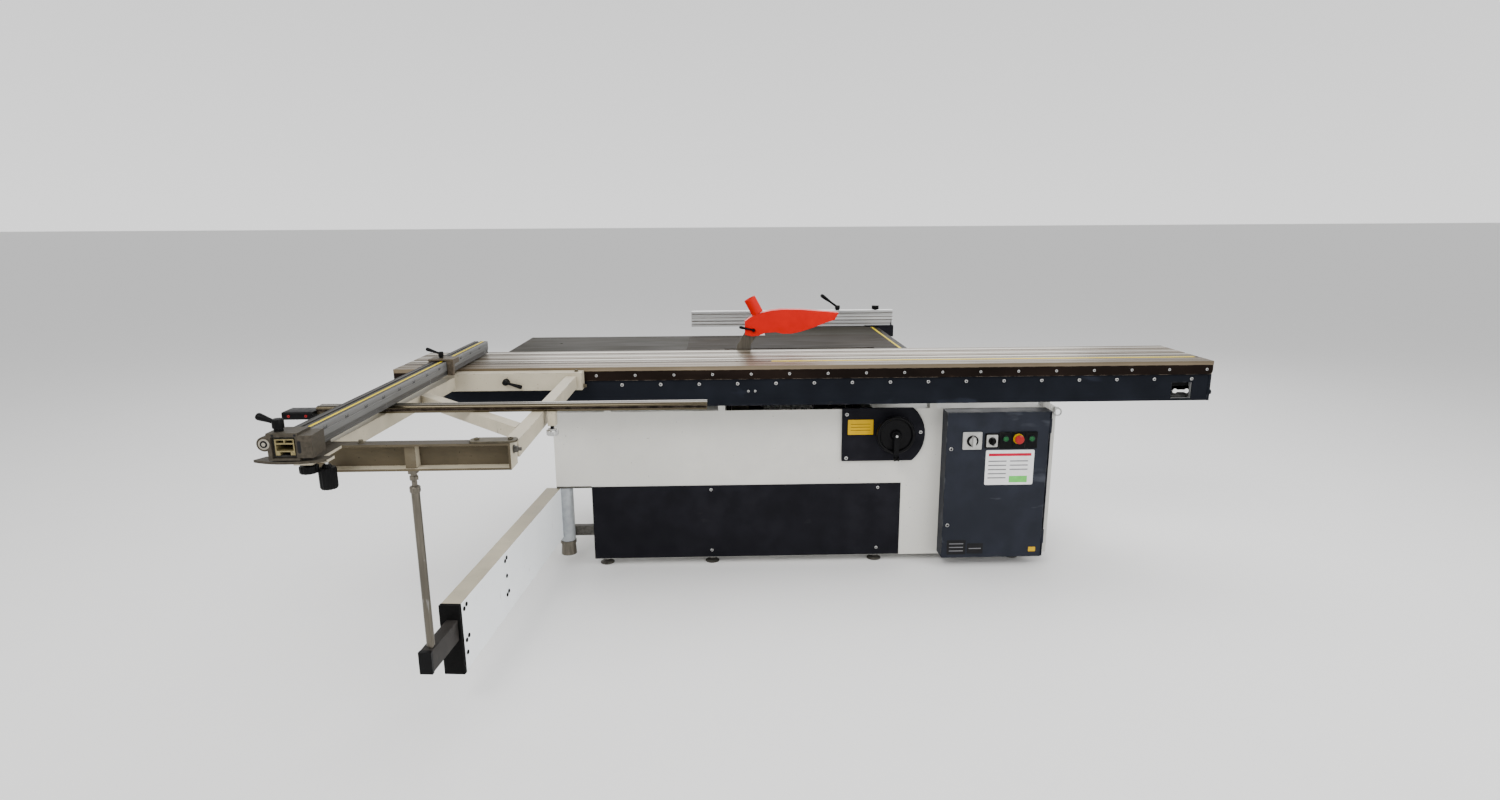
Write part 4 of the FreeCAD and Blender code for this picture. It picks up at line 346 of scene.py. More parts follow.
def lathe(bm, profile, at, axis=Z, segments=32, lobes=0, depth=0.0):
    """Profile of (radius, height) pairs turned about an axis; lobes flute the radius by a share depth."""
    turn = Vector(axis).normalized().to_track_quat("Z", "Y")
    rings = []
    for radius, height in profile:
        ring = []
        for step in range(segments):
            angle = 2 * math.pi * step / segments
            reach = radius * (1 + depth * math.cos(lobes * angle))
            ring.append(bm.verts.new(Vector(at) + turn @ Vector((reach * math.cos(angle),
                reach * math.sin(angle), height))))
        rings.append(ring)
    made = []
    for low, high in zip(rings, rings[1:]):
        for step in range(segments):
            after = (step + 1) % segments
            made.append(bm.faces.new((low[step], low[after], high[after], high[step])))
    return made + [bm.faces.new(ring) for ring in (rings[0], rings[-1])]


def paint(faces, number):
    """Give faces a finish number."""
    for face in faces:
        face.material_index = number


def mm(*pairs):
    """Pairs given in millimetres, in metres."""
    return [(first * MM, second * MM) for first, second in pairs]


def dome(radius, low, high, rim=0.25):
    """Lathe profile of a button or screw head with a rounded rim."""
    edge = min(radius * rim, (high - low) * 0.9)
    return [(radius, low)] + [(radius - edge * (1 - math.cos(turn)), high - edge * (1 - math.sin(turn)))
        for turn in (0, math.pi / 8, math.pi / 4, math.pi * 3 / 8, math.pi / 2)]


def rounded(low, high, radius, parts=4):
    """Rectangle outline with round corners."""
    radius = min(radius, (high[0] - low[0]) / 2.01, (high[1] - low[1]) / 2.01)
    outline = []
    for quarter, (a, b) in enumerate(((high[0] - radius, high[1] - radius),
            (low[0] + radius, high[1] - radius), (low[0] + radius, low[1] + radius),
            (high[0] - radius, low[1] + radius))):
        for part in range(parts + 1):
            angle = math.pi / 2 * (quarter + part / parts)
            outline.append((a + radius * math.cos(angle), b + radius * math.sin(angle)))
    return outline


def socket_screw(bm, at, radius, height, axis=-Y):
    """Button-head screw standing on a face, with a recessed drive."""
    profile = dome(radius, 0, height, 0.4)
    profile += [(radius * 0.45, height), (radius * 0.42, height * 0.25), (radius * 0.05, height * 0.2)]
    faces = lathe(bm, profile, at, axis, 20)
    # The drive's recess gets the dark finish: painted shade.
    paint(faces[6 * 20:], 1)


def hex_bolt(bm, at, radius, height, axis=Z):
    """Hexagon head on a washer."""
    lathe(bm, [(radius * 1.25, 0), (radius * 1.25, height * 0.2), (radius * 0.6, height * 0.2)], at, axis, 24)
    lathe(bm, [(radius, height * 0.2), (radius, height * 0.85), (radius * 0.85, height)], at, axis, 6)


def smooth(mesh):
    mesh.polygons.foreach_set("use_smooth", [True] * len(mesh.polygons))
    mesh.set_sharp_from_angle(angle=CREASE)


def make(name, bm, finishes, body, replaces=(), bevel=0.0, segments=2, slot=None, choose=None):
    """Turn a bmesh into a piece that rides on a body, with soft edges. choose gives a face's finish number."""
    bmesh.ops.remove_doubles(bm, verts=bm.verts, dist=MERGE)
    bmesh.ops.recalc_face_normals(bm, faces=bm.faces)
    mesh = bpy.data.meshes.new(name)
    for finish in finishes if isinstance(finishes, (list, tuple)) else [finishes]:
        mesh.materials.append(finish)
    if choose:
        for face in bm.faces:
            face.material_index = int(choose(face.calc_center_median(), face.normal))
    bm.to_mesh(mesh)
    bm.free()
    smooth(mesh)
    obj = show(name, mesh)
    if bevel:
        soften = obj.modifiers.new("soften", "BEVEL")
        soften.width = bevel
        soften.segments = segments
        soften.limit_method = "ANGLE"
        soften.angle_limit = CREASE
        soften.harden_normals = True
        bpy.context.view_layer.update()
        flat = bpy.data.meshes.new_from_object(obj.evaluated_get(bpy.context.evaluated_depsgraph_get()))
        obj.modifiers.clear()
        obj.data = flat
    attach(obj, body)
    if replaces:
        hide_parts(*replaces)
    slot or SLOT_OF[replaces[0]]
    return obj


def look(node, bm, finishes, bevel=0.0, segments=2, choose=None):
    """The piece that is shown in place of a CAD node and rides on its body."""
    return make(node + "_look", bm, finishes, BODY_OF[node], (node,), bevel, segments, choose=choose)


def soft_copy(node, finishes, bevel=1.0 * MM, segments=2, choose=None):
    """A copy of a CAD node with its edges softened, standing for the node."""
    bm = bmesh.new()
    bm.from_mesh(NODES[node].data)
    bmesh.ops.remove_doubles(bm, verts=bm.verts, dist=WELD)
    bmesh.ops.dissolve_limit(bm, angle_limit=FLAT, verts=bm.verts, edges=bm.edges)
    return look(node, bm, finishes, bevel, segments, choose)


def islands(node):
    """Low and high corners of a CAD node's separate solids, in order along X."""
    bm = bmesh.new()
    bm.from_mesh(NODES[node].data)
    bmesh.ops.remove_doubles(bm, verts=bm.verts, dist=WELD)
    seen, boxes = set(), []
    for start in bm.verts:
        if start in seen:
            continue
        seen.add(start)
        stack, places = [start], []
        while stack:
            vert = stack.pop()
            places.append(vert.co.copy())
            for edge in vert.link_edges:
                other = edge.other_vert(vert)
                if other not in seen:
                    seen.add(other)
                    stack.append(other)
        boxes.append([Vector([pick(place[axis] for place in places) for axis in range(3)])
            for pick in (min, max)])
    bm.free()
    return sorted(boxes, key=lambda box: (round(box[0].x, 4), round(box[0].z, 4)))


def new():
    return bmesh.new()


def tick_reach(step, tenth, fifth, other):
    """Length of a scale's tick: long at every tenth, middling at every fifth."""
    return tenth if step % 10 == 0 else fifth if step % 5 == 0 else other


def handle(bm, start, tip, radius):
    """Tapered moulded grip from start to tip that swells near its end."""
    along = Vector(tip) - Vector(start)
    length = along.length
    lathe(bm, [(radius * 0.8, 0), (radius * 0.75, length * 0.2), (radius * 0.85, length * 0.4),
        (radius * 1.05, length * 0.62), (radius * 1.22, length * 0.82), (radius * 1.2, length * 0.92),
        (radius * 0.9, length * 0.985), (radius * 0.3, length)], start, along, 20)


def hub(bm, at, axis, radius, high):
    """Stepped clamp hub with a skirt of serrations and a sunk screw on top."""
    lathe(bm, [(radius * 0.8, 0), (radius * 0.8, high * 0.2), (radius, high * 0.26), (radius, high * 0.86),
        (radius * 0.86, high)], at, axis, 48, 12, 0.03)
    lathe(bm, [(radius * 0.5, high), (radius * 0.5, high * 1.02), (radius * 0.2, high * 1.02)], at, axis, 6)


def stage_floor():
    bm = new()
    block(bm, (-FLOOR_REACH, -FLOOR_REACH, -50 * MM), (FLOOR_REACH, FLOOR_REACH, -0.5 * MM))
    data = bpy.data.meshes.new("floor")
    bm.to_mesh(data)
    bm.free()
    data.materials.append(FLOOR)
    show("floor", data)


stage_floor()

# ------------------------------------------------------------------ softened CAD nodes
SOFT = {"lower_cover": (PANEL, 1.2), "cabinet_box": (CABINET, 3.0), "cabinet_door": (CABINET, 1.4),
    "handwheel_cover": (PANEL, 2.0), "beam_cover": (BEAM_PAINT, 1.0), "carriage_cover": (STRIP_AND_SLOT_SHADE, 1.2),
    "main_table": (TABLE, 1.2), "table_insert": (TABLE, 0.5), "outfeed_table": (SHEET, 1.5),
    "side_table": (SHEET, 1.5), "fence_carrier": (PANEL, 3.0), "roller_carriage": (STEEL, 0.4),
    "frame_inner_beam": (CREAM, 3.0), "frame_tubes": (CREAM, 4.0), "riving_knife": (TURNED, 0.4),
    "tilt_cradle": (IRON, 1.2), "motor_pulley": (STEEL, 0.8), "selector_knob": (BLACK, 1.5),
    "rise_block": (IRON, 1.5), "arm_end_cap": (RUBBER, 1.5), "end_casting": (CASTING, 4.0),
    "fence_extension": (GOLD, 0.5), "fence_stop": (STOP_CASTING, 2.0), "rip_fence": (EXTRUSION_X, 0.5),
    "blade_guard": (ORANGE, 2.5), "fence_rail": (RAIL_DARK, 1.5), }
for node_name, (finish, width) in SOFT.items():
    soft_copy(node_name, finish, width * MM, 3)

cover_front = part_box("lower_cover")[1].y
beam_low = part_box("slide_beam")[0].z
soft_copy("slide_beam", [EXTRUSION_X, BLACK], 1.0 * MM, 3, lambda at, normal: normal.y < -0.5)
latch_low, latch_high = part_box("slide_latch")
latch_middle = (latch_low + latch_high) / 2
soft_copy("slide_latch", [BLACK, WHITE_PLASTIC], 1.0 * MM, 3, lambda at,
    normal: at.z < latch_middle.z + 1 * MM and at.x < latch_middle.x + 12 * MM)
soft_copy("chassis_body", [ENAMEL, STEEL], 2.0 * MM, 3, lambda at, normal: (at.z > beam_low - 50 * MM
    and at.z < beam_low and at.y < 0.3 and abs(at.x) < 1.05) or (at.y < cover_front and at.z > 0.6))
post_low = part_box("arm_post")[0]
post_at = next(Vector(joint["pos_m"]) for joint in frame["record"]["behaviour"]["joints"]
    if joint["name"] == "arm_swing")
# On the arm tube the top faces get the darker cream as painted shade and the other faces the brighter arm white
# as painted light; faces round the post get the sleeve grey.
soft_copy("arm_tube", [ARM_LIT_WHITE, CREAM, SLEEVE], 5.0 * MM, 3, lambda at,
    normal: 2 if math.hypot(at.x - post_at.x, at.y - post_at.y) < 36 * MM and abs(normal.z) < 0.5 else 1
    if normal.z > 0.9 else 0)
arm_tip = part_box("arm_extension")[0].y
soft_copy("arm_extension", [ARM_DARK, BLACK], 1.5 * MM, 3, lambda at, normal: at.y < arm_tip + 17 * MM)
soft_copy("arm_post", [TURNED, FOOT], 2.0 * MM, 3, lambda at, normal: at.x > post_low.x + 70 * MM)
channel_low, channel_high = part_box("frame_outer_channel")
# Faces of the web that look towards the operator get the dark web finish: painted shade.
soft_copy("frame_outer_channel", [CREAM, CASTING, SHADE], 1.5 * MM, 3, lambda at,
    normal: 1 if at.z > channel_low.z + 71.2 * MM and at.y < -1.0 else 2 if normal.y < -0.9
    and at.y > channel_high.y - 90 * MM else 0)

# ------------------------------------------------------------------ screws and feet
for node_name in ("cover_screws", "carriage_screws"):
    bm = new()
    for low, high in islands(node_name):
        middle = (low + high) / 2
        socket_screw(bm, (middle.x, high.y, middle.z), (high.x - low.x) / 2, high.y - low.y)
    look(node_name, bm, [STEEL, PRINT_AND_SHADE])
bm = new()
for low, high in islands("levelling_feet"):
    middle = (low + high) / 2
    radius = (high.x - low.x) / 2
    lathe(bm, [(radius, 0), (radius, 3 * MM), (radius * 0.8, 7 * MM), (radius * 0.45, 10 * MM),
        (radius * 0.3, 11 * MM)], (middle.x, middle.y, low.z), Z, 32)
    lathe(bm, [(radius * 0.27, 0)] + [(radius * (0.27 if turn % 2 else 0.24), 10 * MM + turn * 1.2 * MM)
        for turn in range(20)], (middle.x, middle.y, low.z), Z, 20)
    lathe(bm, [(radius * 0.5, 14 * MM), (radius * 0.5, 21 * MM), (radius * 0.44, 22 * MM)],
        (middle.x, middle.y, low.z), Z, 6)
look("levelling_feet", bm, [FOOT])

# ------------------------------------------------------------------ sliding table with its ribbed top
low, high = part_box("sliding_table")


def carriage_outline():
    """Section of the carriage: fluted top, T-slot, hollow sides."""
    near, top = low.y, high.z

    def grooves(*places):
        return [point for far, wide, deep in places for point in ((far, 0), (far, -deep), (far - wide, -deep),
            (far - wide, 0))]

    outline = [(6, -53.6), (340, -53.6), (402, -7), (402, 0)]
    outline += grooves((384, 3, 1.5), (346, 2, 1.2), (340, 2, 1.2), (334, 2, 1.2), (328, 2, 1.2),
        (322, 2, 1.2), (288, 4, 1.6), (250, 2, 1.2), (244, 2, 1.2))
    outline += [(208, 0), (208, -6), (212, -6), (212, -13), (192, -13), (192, -6), (196, -6), (196, 0)]
    outline += grooves((160, 4, 1.6), (148, 2, 1.2), (142, 2, 1.2), (136, 2, 1.2), (130, 2, 1.2),
        (116, 24, 1.0), (84, 4, 1.6), (50, 2, 1.2), (44, 2, 1.2), (38, 2, 1.2), (16, 3, 1.5))
    outline += [(0, 0), (0, -15), (6, -15)]
    return [(near + across * MM, top + rise * MM) for across, rise in outline]


def carriage_void(first, last):
    near, top = low.y, high.z
    return rounded((near + first * MM, top - 44 * MM), (near + last * MM, top - 20 * MM), 3 * MM)


bm = new()
extrusion(bm, carriage_outline(), "x", low.x, high.x, [carriage_void(22, 180), carriage_void(190, 330)])
for across in (100, 240):
    block(bm, (low.x + 6 * MM, low.y + (across - 15) * MM, low.z), (high.x - 6 * MM,
        low.y + (across + 15) * MM, high.z - 53 * MM))
table_low, table_high = low.copy(), high.copy()


def carriage_finish(at, normal):
    """Painted shade in the grooves and on the T-slot's sides, a painted highlight on some lands, plain
    elsewhere.
    """
    if normal.z < 0.9:
        in_slot = at.z > table_high.z - 14 * MM and abs(normal.y) > 0.9 and at.y > table_low.y + 1 * MM
        return 1 if in_slot else 0
    if at.z < table_high.z - 0.6 * MM:
        return 1
    across = (at.y - table_low.y) / MM
    # These lands get the bright finish, a painted highlight.
    return 2 if 117 < across < 128 or 164 < across < 190 or 254 < across < 284 or 350 < across < 380 else 0


look("sliding_table", bm, [CARRIAGE, GROOVE_SHADE, BRIGHT_METAL_AND_HIGHLIGHT], 0.3 * MM, 1, choose=carriage_finish)
bm = new()
tape_start, tape_end, tape_top = low.x + 1.46, high.x - 0.02, high.z - 0.25 * MM
extrusion(bm, rounded((low.y + 92.6 * MM, high.z - 0.9 * MM), (low.y + 115.4 * MM, tape_top), 0.2 * MM, 1),
    "x", tape_start, tape_end)
for step in range(int((tape_end - tape_start) / TICK_STEP)):
    tick = tape_start + 5 * MM + step * TICK_STEP
    reach = tick_reach(step, 10, 7, 4)
    paint(block(bm, (tick, low.y + 93 * MM, tape_top - 0.05 * MM), (tick + 0.8 * MM,
        low.y + (93 + reach) * MM, tape_top + 0.05 * MM)), 1)
make("carriage_scale", bm, [TAPE, PRINT_AND_SHADE], "carriage", slot="tape_yellow")

# ------------------------------------------------------------------ cabinet fittings
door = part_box("cabinet_door")
plates = sorted(islands("door_fittings"), key=lambda box: box[1].x - box[0].x)
bm = new()
for low, high in plates[:2]:
    middle = (low + high) / 2
    radius, deep = (high.x - low.x) / 2, high.y - low.y
    faces = lathe(bm, [(radius, 0), (radius, deep * 0.5), (radius * 0.8, deep), (radius * 0.62, deep),
        (radius * 0.6, deep * 0.6), (radius * 0.1, deep * 0.6)], (middle.x, high.y, middle.z), -Y, 32)
    # The lock's recessed face and its key slot get the dark finish: painted shade.
    paint(faces[4 * 32:], 1)
    paint(block(bm, (middle.x - radius * 0.12, low.y + deep * 0.2, middle.z - radius * 0.5),
        (middle.x + radius * 0.12, low.y + deep * 0.5, middle.z + radius * 0.5)), 1)
for number, (low, high) in enumerate(plates[2:]):
    selector = number == 0
    paint(extrusion(bm, rounded((low.x, low.z), (high.x, high.z), 4 * MM), "y", low.y + 1 * MM, high.y),
        3 if selector else 2)
    inset = (6 if selector else 3) * MM
    paint(extrusion(bm, rounded((low.x + inset, low.z + inset), (high.x - inset, high.z - inset), 4 * MM),
        "y", low.y, low.y + 1.5 * MM), 2)
    if selector:
        middle = (low + high) / 2
        paint(lathe(bm, mm((16, -0.5), (16, 1.2), (10, 1.2)), (middle.x, low.y, middle.z), -Y, 32), 3)
look("door_fittings", bm, [STEEL, PRINT_AND_SHADE, GREY_PLASTIC, BLACK], 0.5 * MM)

low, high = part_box("main_switch_knob")
middle, face = (low + high) / 2, high.y
radius, reach = (high.x - low.x) / 2, high.y - low.y
bm = new()
paint(lathe(bm, [(radius, 4 * MM), (radius, 9 * MM), (radius * 0.97, 11 * MM), (radius * 0.68, 11 * MM),
    (radius * 0.66, 6 * MM), (radius * 0.5, 6 * MM)], (middle.x, face, middle.z), -Y, 48), 1)
lathe(bm, [(radius * 0.62, 4 * MM), (radius * 0.62, reach * 0.42), (radius * 0.55, reach * 0.48)],
    (middle.x, face, middle.z), -Y, 48)
extrusion(bm, rounded((middle.x - 6 * MM, middle.z - radius * 0.9), (middle.x + 6 * MM,
    middle.z + radius * 0.9), 5 * MM), "y", low.y, face - 8 * MM)
make("main_switch_look", bm, [GREY_PLASTIC, BLACK], "main_switch", ("main_switch_knob",), 1.2 * MM, 3)

low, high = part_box("button_panel")
thirds = (high.x - low.x) / 3
bm = new()
extrusion(bm, rounded((low.x, low.z), (high.x, high.z), 3 * MM), "y", high.y - 6 * MM, high.y)
for step in range(3):
    extrusion(bm, rounded((low.x + thirds * step + 1.5 * MM, low.z + 2 * MM),
        (low.x + thirds * (step + 1) - 1.5 * MM, high.z - 2 * MM), 3 * MM), "y", low.y + 3 * MM,
        high.y - 5 * MM)
for key, ring in (("start_button", 1.36), ("run_button", 1.36), ("stop_button", 1.12)):
    key_low, key_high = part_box(key)
    key_at = (key_low + key_high) / 2
    size = (key_high.x - key_low.x) / 2
    faces = lathe(bm, [(size * ring, 0), (size * ring, 2.6 * MM), (size * (ring - 0.08), 3 * MM),
        (size * 1.06, 3 * MM), (size * 1.06, 0.2 * MM)], (key_at.x, low.y + 3 * MM, key_at.z), -Y, 40)
    paint(faces, 1 if key == "stop_button" else 2)
look("button_panel", bm, [BLACK, YELLOW, PANEL], 0.6 * MM)
for key, finish in (("start_button", GREEN), ("run_button", GREEN), ("stop_button", RED)):
    low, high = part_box(key)
    middle, size, deep = (low + high) / 2, (high.x - low.x) / 2, high.y - low.y
    bm = new()
    if key == "stop_button":
        lathe(bm, [(size * 0.42, 0), (size * 0.42, deep * 0.6), (size * 0.55, deep * 0.68),
            (size * 0.96, deep * 0.72), (size, deep * 0.78), (size * 0.98, deep * 0.9),
            (size * 0.8, deep * 0.98), (size * 0.4, deep), (size * 0.02, deep)], (middle.x, high.y, middle.z),
            -Y, 48)
    else:
        lathe(bm, dome(size, 0, deep, 0.2) + [(size * 0.7, deep), (size * 0.66, deep * 0.93),
            (size * 0.02, deep * 0.9)], (middle.x, high.y, middle.z), -Y, 40)
    look(key, bm, finish)


def label(name, body, slot, origin, size, finishes, marks, corner=3.0):
    """Thin plate on a face towards -Y, with raised printed blocks (x, z, wide, high, finish number) in mm."""
    bm = new()
    x, y, z = origin
    wide, tall = size
    extrusion(bm, rounded((x, z), (x + wide * MM, z + tall * MM), corner * MM), "y", y - 0.4 * MM, y)
    for across, rise, width, height, number in marks:
        paint(extrusion(bm, rounded((x + across * MM, z + rise * MM),
            (x + (across + width) * MM, z + (rise + height) * MM), 0.6 * MM, 2), "y", y - 0.55 * MM,
            y - 0.35 * MM), number)
    return make(name, bm, finishes, body, slot=slot)


door_face = door[0].y
# Plain stand-ins for the stickers: even bars and plain patches, laid out freely.
bars = [(12 + 90 * column, 100 - 18 * row, 76, 5, 2) for column in range(2) for row in range(5)]
label("cabinet_chart", "cabinet_lid", "latch_white", (door[0].x + 166 * MM, door_face, door[0].z + 322 * MM),
    (202, 150), [PAPER, PINK, GREY_PRINT, LIME], [(12, 124, 178, 12, 1), (102, 10, 76, 28, 3)] + bars[:8], 6)
label("cabinet_sticker_dark", "cabinet_lid", "latch_white", (door[0].x + 22 * MM, door_face,
    door[0].z + 14 * MM), (80, 64), [PRINT_AND_SHADE, GREY_PRINT], [(10, 14, 60, 4, 1), (10, 30, 60, 4, 1),
    (10, 46, 60, 4, 1)], 1.0)
label("cabinet_sticker_plain", "cabinet_lid", "control_black", (door[0].x + 108 * MM, door_face,
    door[0].z + 17 * MM), (68, 46), [PRINT_AND_SHADE, GREY_PRINT], [(8, 21, 52, 4, 1)], 1.0)
label("cabinet_patch", "cabinet_lid", "tape_yellow", (door[1].x - 52 * MM, door_face, door[0].z + 23 * MM),
    (30, 20), [YELLOW], [], 2.0)
low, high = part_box("handwheel_cover")
label("wheel_plate_note", "machine", "tape_yellow", (low.x + 24 * MM, low.y, low.z + 115 * MM), (106, 64),
    [YELLOW, PRINT_AND_SHADE], [(12, 18, 82, 2, 1), (12, 31, 82, 2, 1), (12, 44, 82, 2, 1)], 2.0)

# ------------------------------------------------------------------ handwheel
low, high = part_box("handwheel")
wheel_x, wheel_z = (low.x + high.x) / 2, high.z - (high.x - low.x) / 2
rim = (high.x - low.x) / 2
front = low.y + 12 * MM
bm = new()
lathe(bm, [(12 * MM, high.y - front), (12 * MM, 24 * MM), (rim * 0.5, 24 * MM), (rim * 0.9, 22 * MM),
    (rim * 0.985, 17 * MM), (rim, 10 * MM), (rim * 0.985, 3 * MM), (rim * 0.95, 0.2 * MM), (rim * 0.91, 0),
    (rim * 0.86, 2 * MM), (rim * 0.8, 11 * MM), (rim * 0.55, 13 * MM), (rim * 0.30, 12 * MM),
    (rim * 0.25, 4 * MM), (rim * 0.23, 0), (rim * 0.2, -2 * MM), (rim * 0.02, -2 * MM)],
    (wheel_x, front, wheel_z), Y, 64)
crank_low = low.z
extrusion(bm, rounded((wheel_x - 10 * MM, crank_low), (wheel_x + 10 * MM, wheel_z + 12 * MM), 10 * MM, 6),
    "y", low.y, front + 2 * MM)
faces = lathe(bm, mm((6, 0), (6, 1.6), (5, 2.4), (3, 2.4), (3, 1)), (wheel_x, low.y, wheel_z), -Y, 6)
paint(faces, 1)
for side in (-1, 1):
    outer, inner = wheel_x + side * 9.5 * MM, wheel_x + side * 5.8 * MM
    extrusion(bm, rounded((low.y - 15 * MM, crank_low), (low.y + 6 * MM, crank_low + 19 * MM), 8 * MM, 5),
        "x", min(outer, inner), max(outer, inner))
look("handwheel", bm, [BLACK, STEEL], 0.8 * MM, 2)
low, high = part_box("crank_grip")
middle, size = (low + high) / 2, (high.x - low.x) / 2
bm = new()
lathe(bm, [(size * 0.5, 16 * MM), (size * 0.8, 18 * MM), (size, 24 * MM), (size * 0.92, 40 * MM),
    (size * 0.98, 60 * MM), (size * 0.9, 72 * MM), (size * 0.6, 77 * MM), (size * 0.1, 78.4 * MM)],
    (middle.x, middle.y, low.z), Z, 32)
paint(extrusion(bm, rounded((middle.y - 6 * MM, low.z + 1 * MM), (middle.y + 6 * MM, low.z + 20 * MM),
    6 * MM), "x", middle.x - 5 * MM, middle.x + 5 * MM), 1)
paint(lathe(bm, mm((3.4, -8.4), (3.4, 8.4)), (middle.x, middle.y, low.z + 9 * MM), X, 16), 1)
look("crank_grip", bm, [BLACK, STEEL], 0.5 * MM)

# ------------------------------------------------------------------ outrigger: bar, leg, bolts, levers
low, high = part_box("support_bar")
bm = new()
slot_z = (low.z + 7 * MM, low.z + 14 * MM)
extrusion(bm, [(high.y - 8 * MM, high.z), (low.y + 27 * MM, high.z), (low.y + 27 * MM, high.z - 4 * MM),
    (low.y + 21 * MM, high.z - 4 * MM), (low.y + 21 * MM, high.z)] + [(low.y
    + (9 - 9 * math.sin(turn * math.pi / 12)) * MM, high.z - (9 - 9 * math.cos(turn * math.pi / 12)) * MM)
    for turn in range(7)] + [(low.y, slot_z[1]), (low.y + 4 * MM, slot_z[1]), (low.y + 4 * MM, slot_z[0]),
    (low.y, slot_z[0])] + [(low.y + 2 * MM, low.z), (high.y - 3 * MM, low.z), (high.y, low.z + 3 * MM),
    (high.y, high.z - 8 * MM)], "x", low.x, high.x)
# Dark strip laid along the bar's slot: painted shade in the slot.
paint(block(bm, (low.x + 1 * MM, low.y + 1 * MM, slot_z[0] + 0.2 * MM),
    (high.x - 1 * MM, low.y + 3.8 * MM, slot_z[1] - 0.2 * MM)), 1)
look("support_bar", bm, [BAR, STRIP_AND_SLOT_SHADE, BRIGHT_METAL_AND_HIGHLIGHT], 0.8 * MM, 3)

block_box, clamp_box = islands("bar_fittings")
bm = new()
low, high = block_box
extrusion(bm, rounded((low.y, low.z), (high.y, high.z), 5 * MM), "x", low.x, high.x - 0.3 * MM)
for across in (0.22, 0.78):
    x = low.x + (high.x - low.x) * across
    paint(lathe(bm, mm((4, -1), (4, 0.8), (3, 1.4), (2, 1.4), (1.6, 0)), (x, low.y, (low.z + high.z) / 2), -Y,
        24), 1)
low, high = clamp_box
middle = (low + high) / 2
paint(block(bm, (middle.x - 12 * MM, low.y + 12 * MM, low.z + 30 * MM), (middle.x + 12 * MM, high.y, high.z)),
    3)
lathe(bm, [(6 * MM, 10 * MM)] + [(6 * MM if turn % 2 else 5.4 * MM, (12 + turn * 1.6) * MM)
    for turn in range(26)], (middle.x, low.y + 18 * MM, low.z), Z, 20)
paint(lathe(bm, mm((15, 0), (18, 2), (18, 15), (16.5, 17), (13, 17), (13, 21)),
    (middle.x, low.y + 18 * MM, low.z), Z, 48, 16, 0.035), 2)
look("bar_fittings", bm, [BLACK, RED, STEEL, CREAM], 0.6 * MM)

low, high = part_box("support_leg")
leg_x, leg_y = (low.x + high.x) / 2, (low.y + high.y) / 2
tall = high.z - low.z
bm = new()
lathe(bm, [(7 * MM, 0), (7 * MM, 6 * MM), (11 * MM, 7 * MM), (11 * MM, 0.449), (12.5 * MM, 0.449),
    (14 * MM, 0.452), (14 * MM, 0.464), (12.5 * MM, 0.466), (7 * MM, 0.466), (7 * MM, 0.480)]
    + [((7 if turn % 2 else 6.4) * MM, 0.480 + turn * 1.5 * MM) for turn in range(8)]
    + [(7 * MM, tall - 4 * MM)], (leg_x, leg_y, low.z), Z, 40)
lathe(bm, [(12 * MM, tall - 28 * MM), (12 * MM, tall - 18 * MM), (9 * MM, tall - 16 * MM),
    (9 * MM, tall - 0.4 * MM)], (leg_x, leg_y, low.z), Z, 6)
extrusion(bm, rounded((leg_x - 11 * MM, leg_y - 11 * MM), (leg_x + 11 * MM, leg_y + 11 * MM), 3 * MM), "z",
    high.z - 10 * MM, high.z)
paint(lathe(bm, mm((3, -14), (3, 14)), (leg_x, leg_y, low.z + 0.458), X, 16), 1)
look("support_leg", bm, [TURNED, PRINT_AND_SHADE], 0.4 * MM)

bm = new()
for low, high in islands("wear_plate"):
    middle = (low + high) / 2
    if high.x - low.x > 60 * MM:
        extrusion(bm, rounded((low.x, low.y), (high.x, high.y), 18 * MM, 6), "z", low.z, low.z + 5 * MM)
        for x in (low.x + 18 * MM, high.x - 18 * MM):
            socket_screw(bm, (x, middle.y, low.z + 5 * MM), 7 * MM, 5 * MM, Z)
    elif high.z - low.z < 12 * MM:
        hex_bolt(bm, (middle.x, middle.y, low.z), (high.x - low.x) / 2.5, high.z - low.z)
    else:
        hex_bolt(bm, (low.x, middle.y, middle.z), (high.z - low.z) / 2.5, high.x - low.x, X)
look("wear_plate", bm, [WORN, PRINT_AND_SHADE], 0.6 * MM)

# end plates that close the outrigger's tubes, and the nut and bolt at its near right corner
low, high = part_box("frame_tubes")
bm = new()
for x in (high.x - 20.5 * MM, low.x + 20.5 * MM):
    plug = rounded((x - 17 * MM, low.z + 3 * MM), (x + 17 * MM, high.z - 3 * MM), 3 * MM)
    extrusion(bm, plug, "y", low.y + 1.5 * MM, low.y + 5 * MM)
make("frame_tube_plugs", bm, CREAM, "carriage", slot="frame_cream", bevel=0.6 * MM)
bm = new()
hex_bolt(bm, (channel_high.x, channel_low.y + 195 * MM, channel_low.z + 48 * MM), 9 * MM, 12 * MM, X)
lathe(bm, [(5 * MM, 8 * MM)] + [((5 if turn % 2 else 4.5) * MM, (10 + turn * 1.2) * MM)
    for turn in range(10)], (channel_high.x, channel_low.y + 195 * MM, channel_low.z + 48 * MM), X, 16)
make("frame_corner_bolt", bm, FOOT, "carriage", slot="screw_steel")

low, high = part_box("frame_lever")
x, z = low.x + 11 * MM, high.z - 11 * MM
bm = new()
hub(bm, (x, high.y, z), -Y, 11 * MM, 24 * MM)
handle(bm, (x, high.y - 14 * MM, z), (high.x, high.y - 13 * MM, low.z + 9 * MM), 6.4 * MM)
lathe(bm, mm((8, 0), (8, 5), (13, 4), (13, 0.1)), (x, high.y + 0.5 * MM, z), -Y, 24)
look("frame_lever", bm, [BLACK, STEEL])

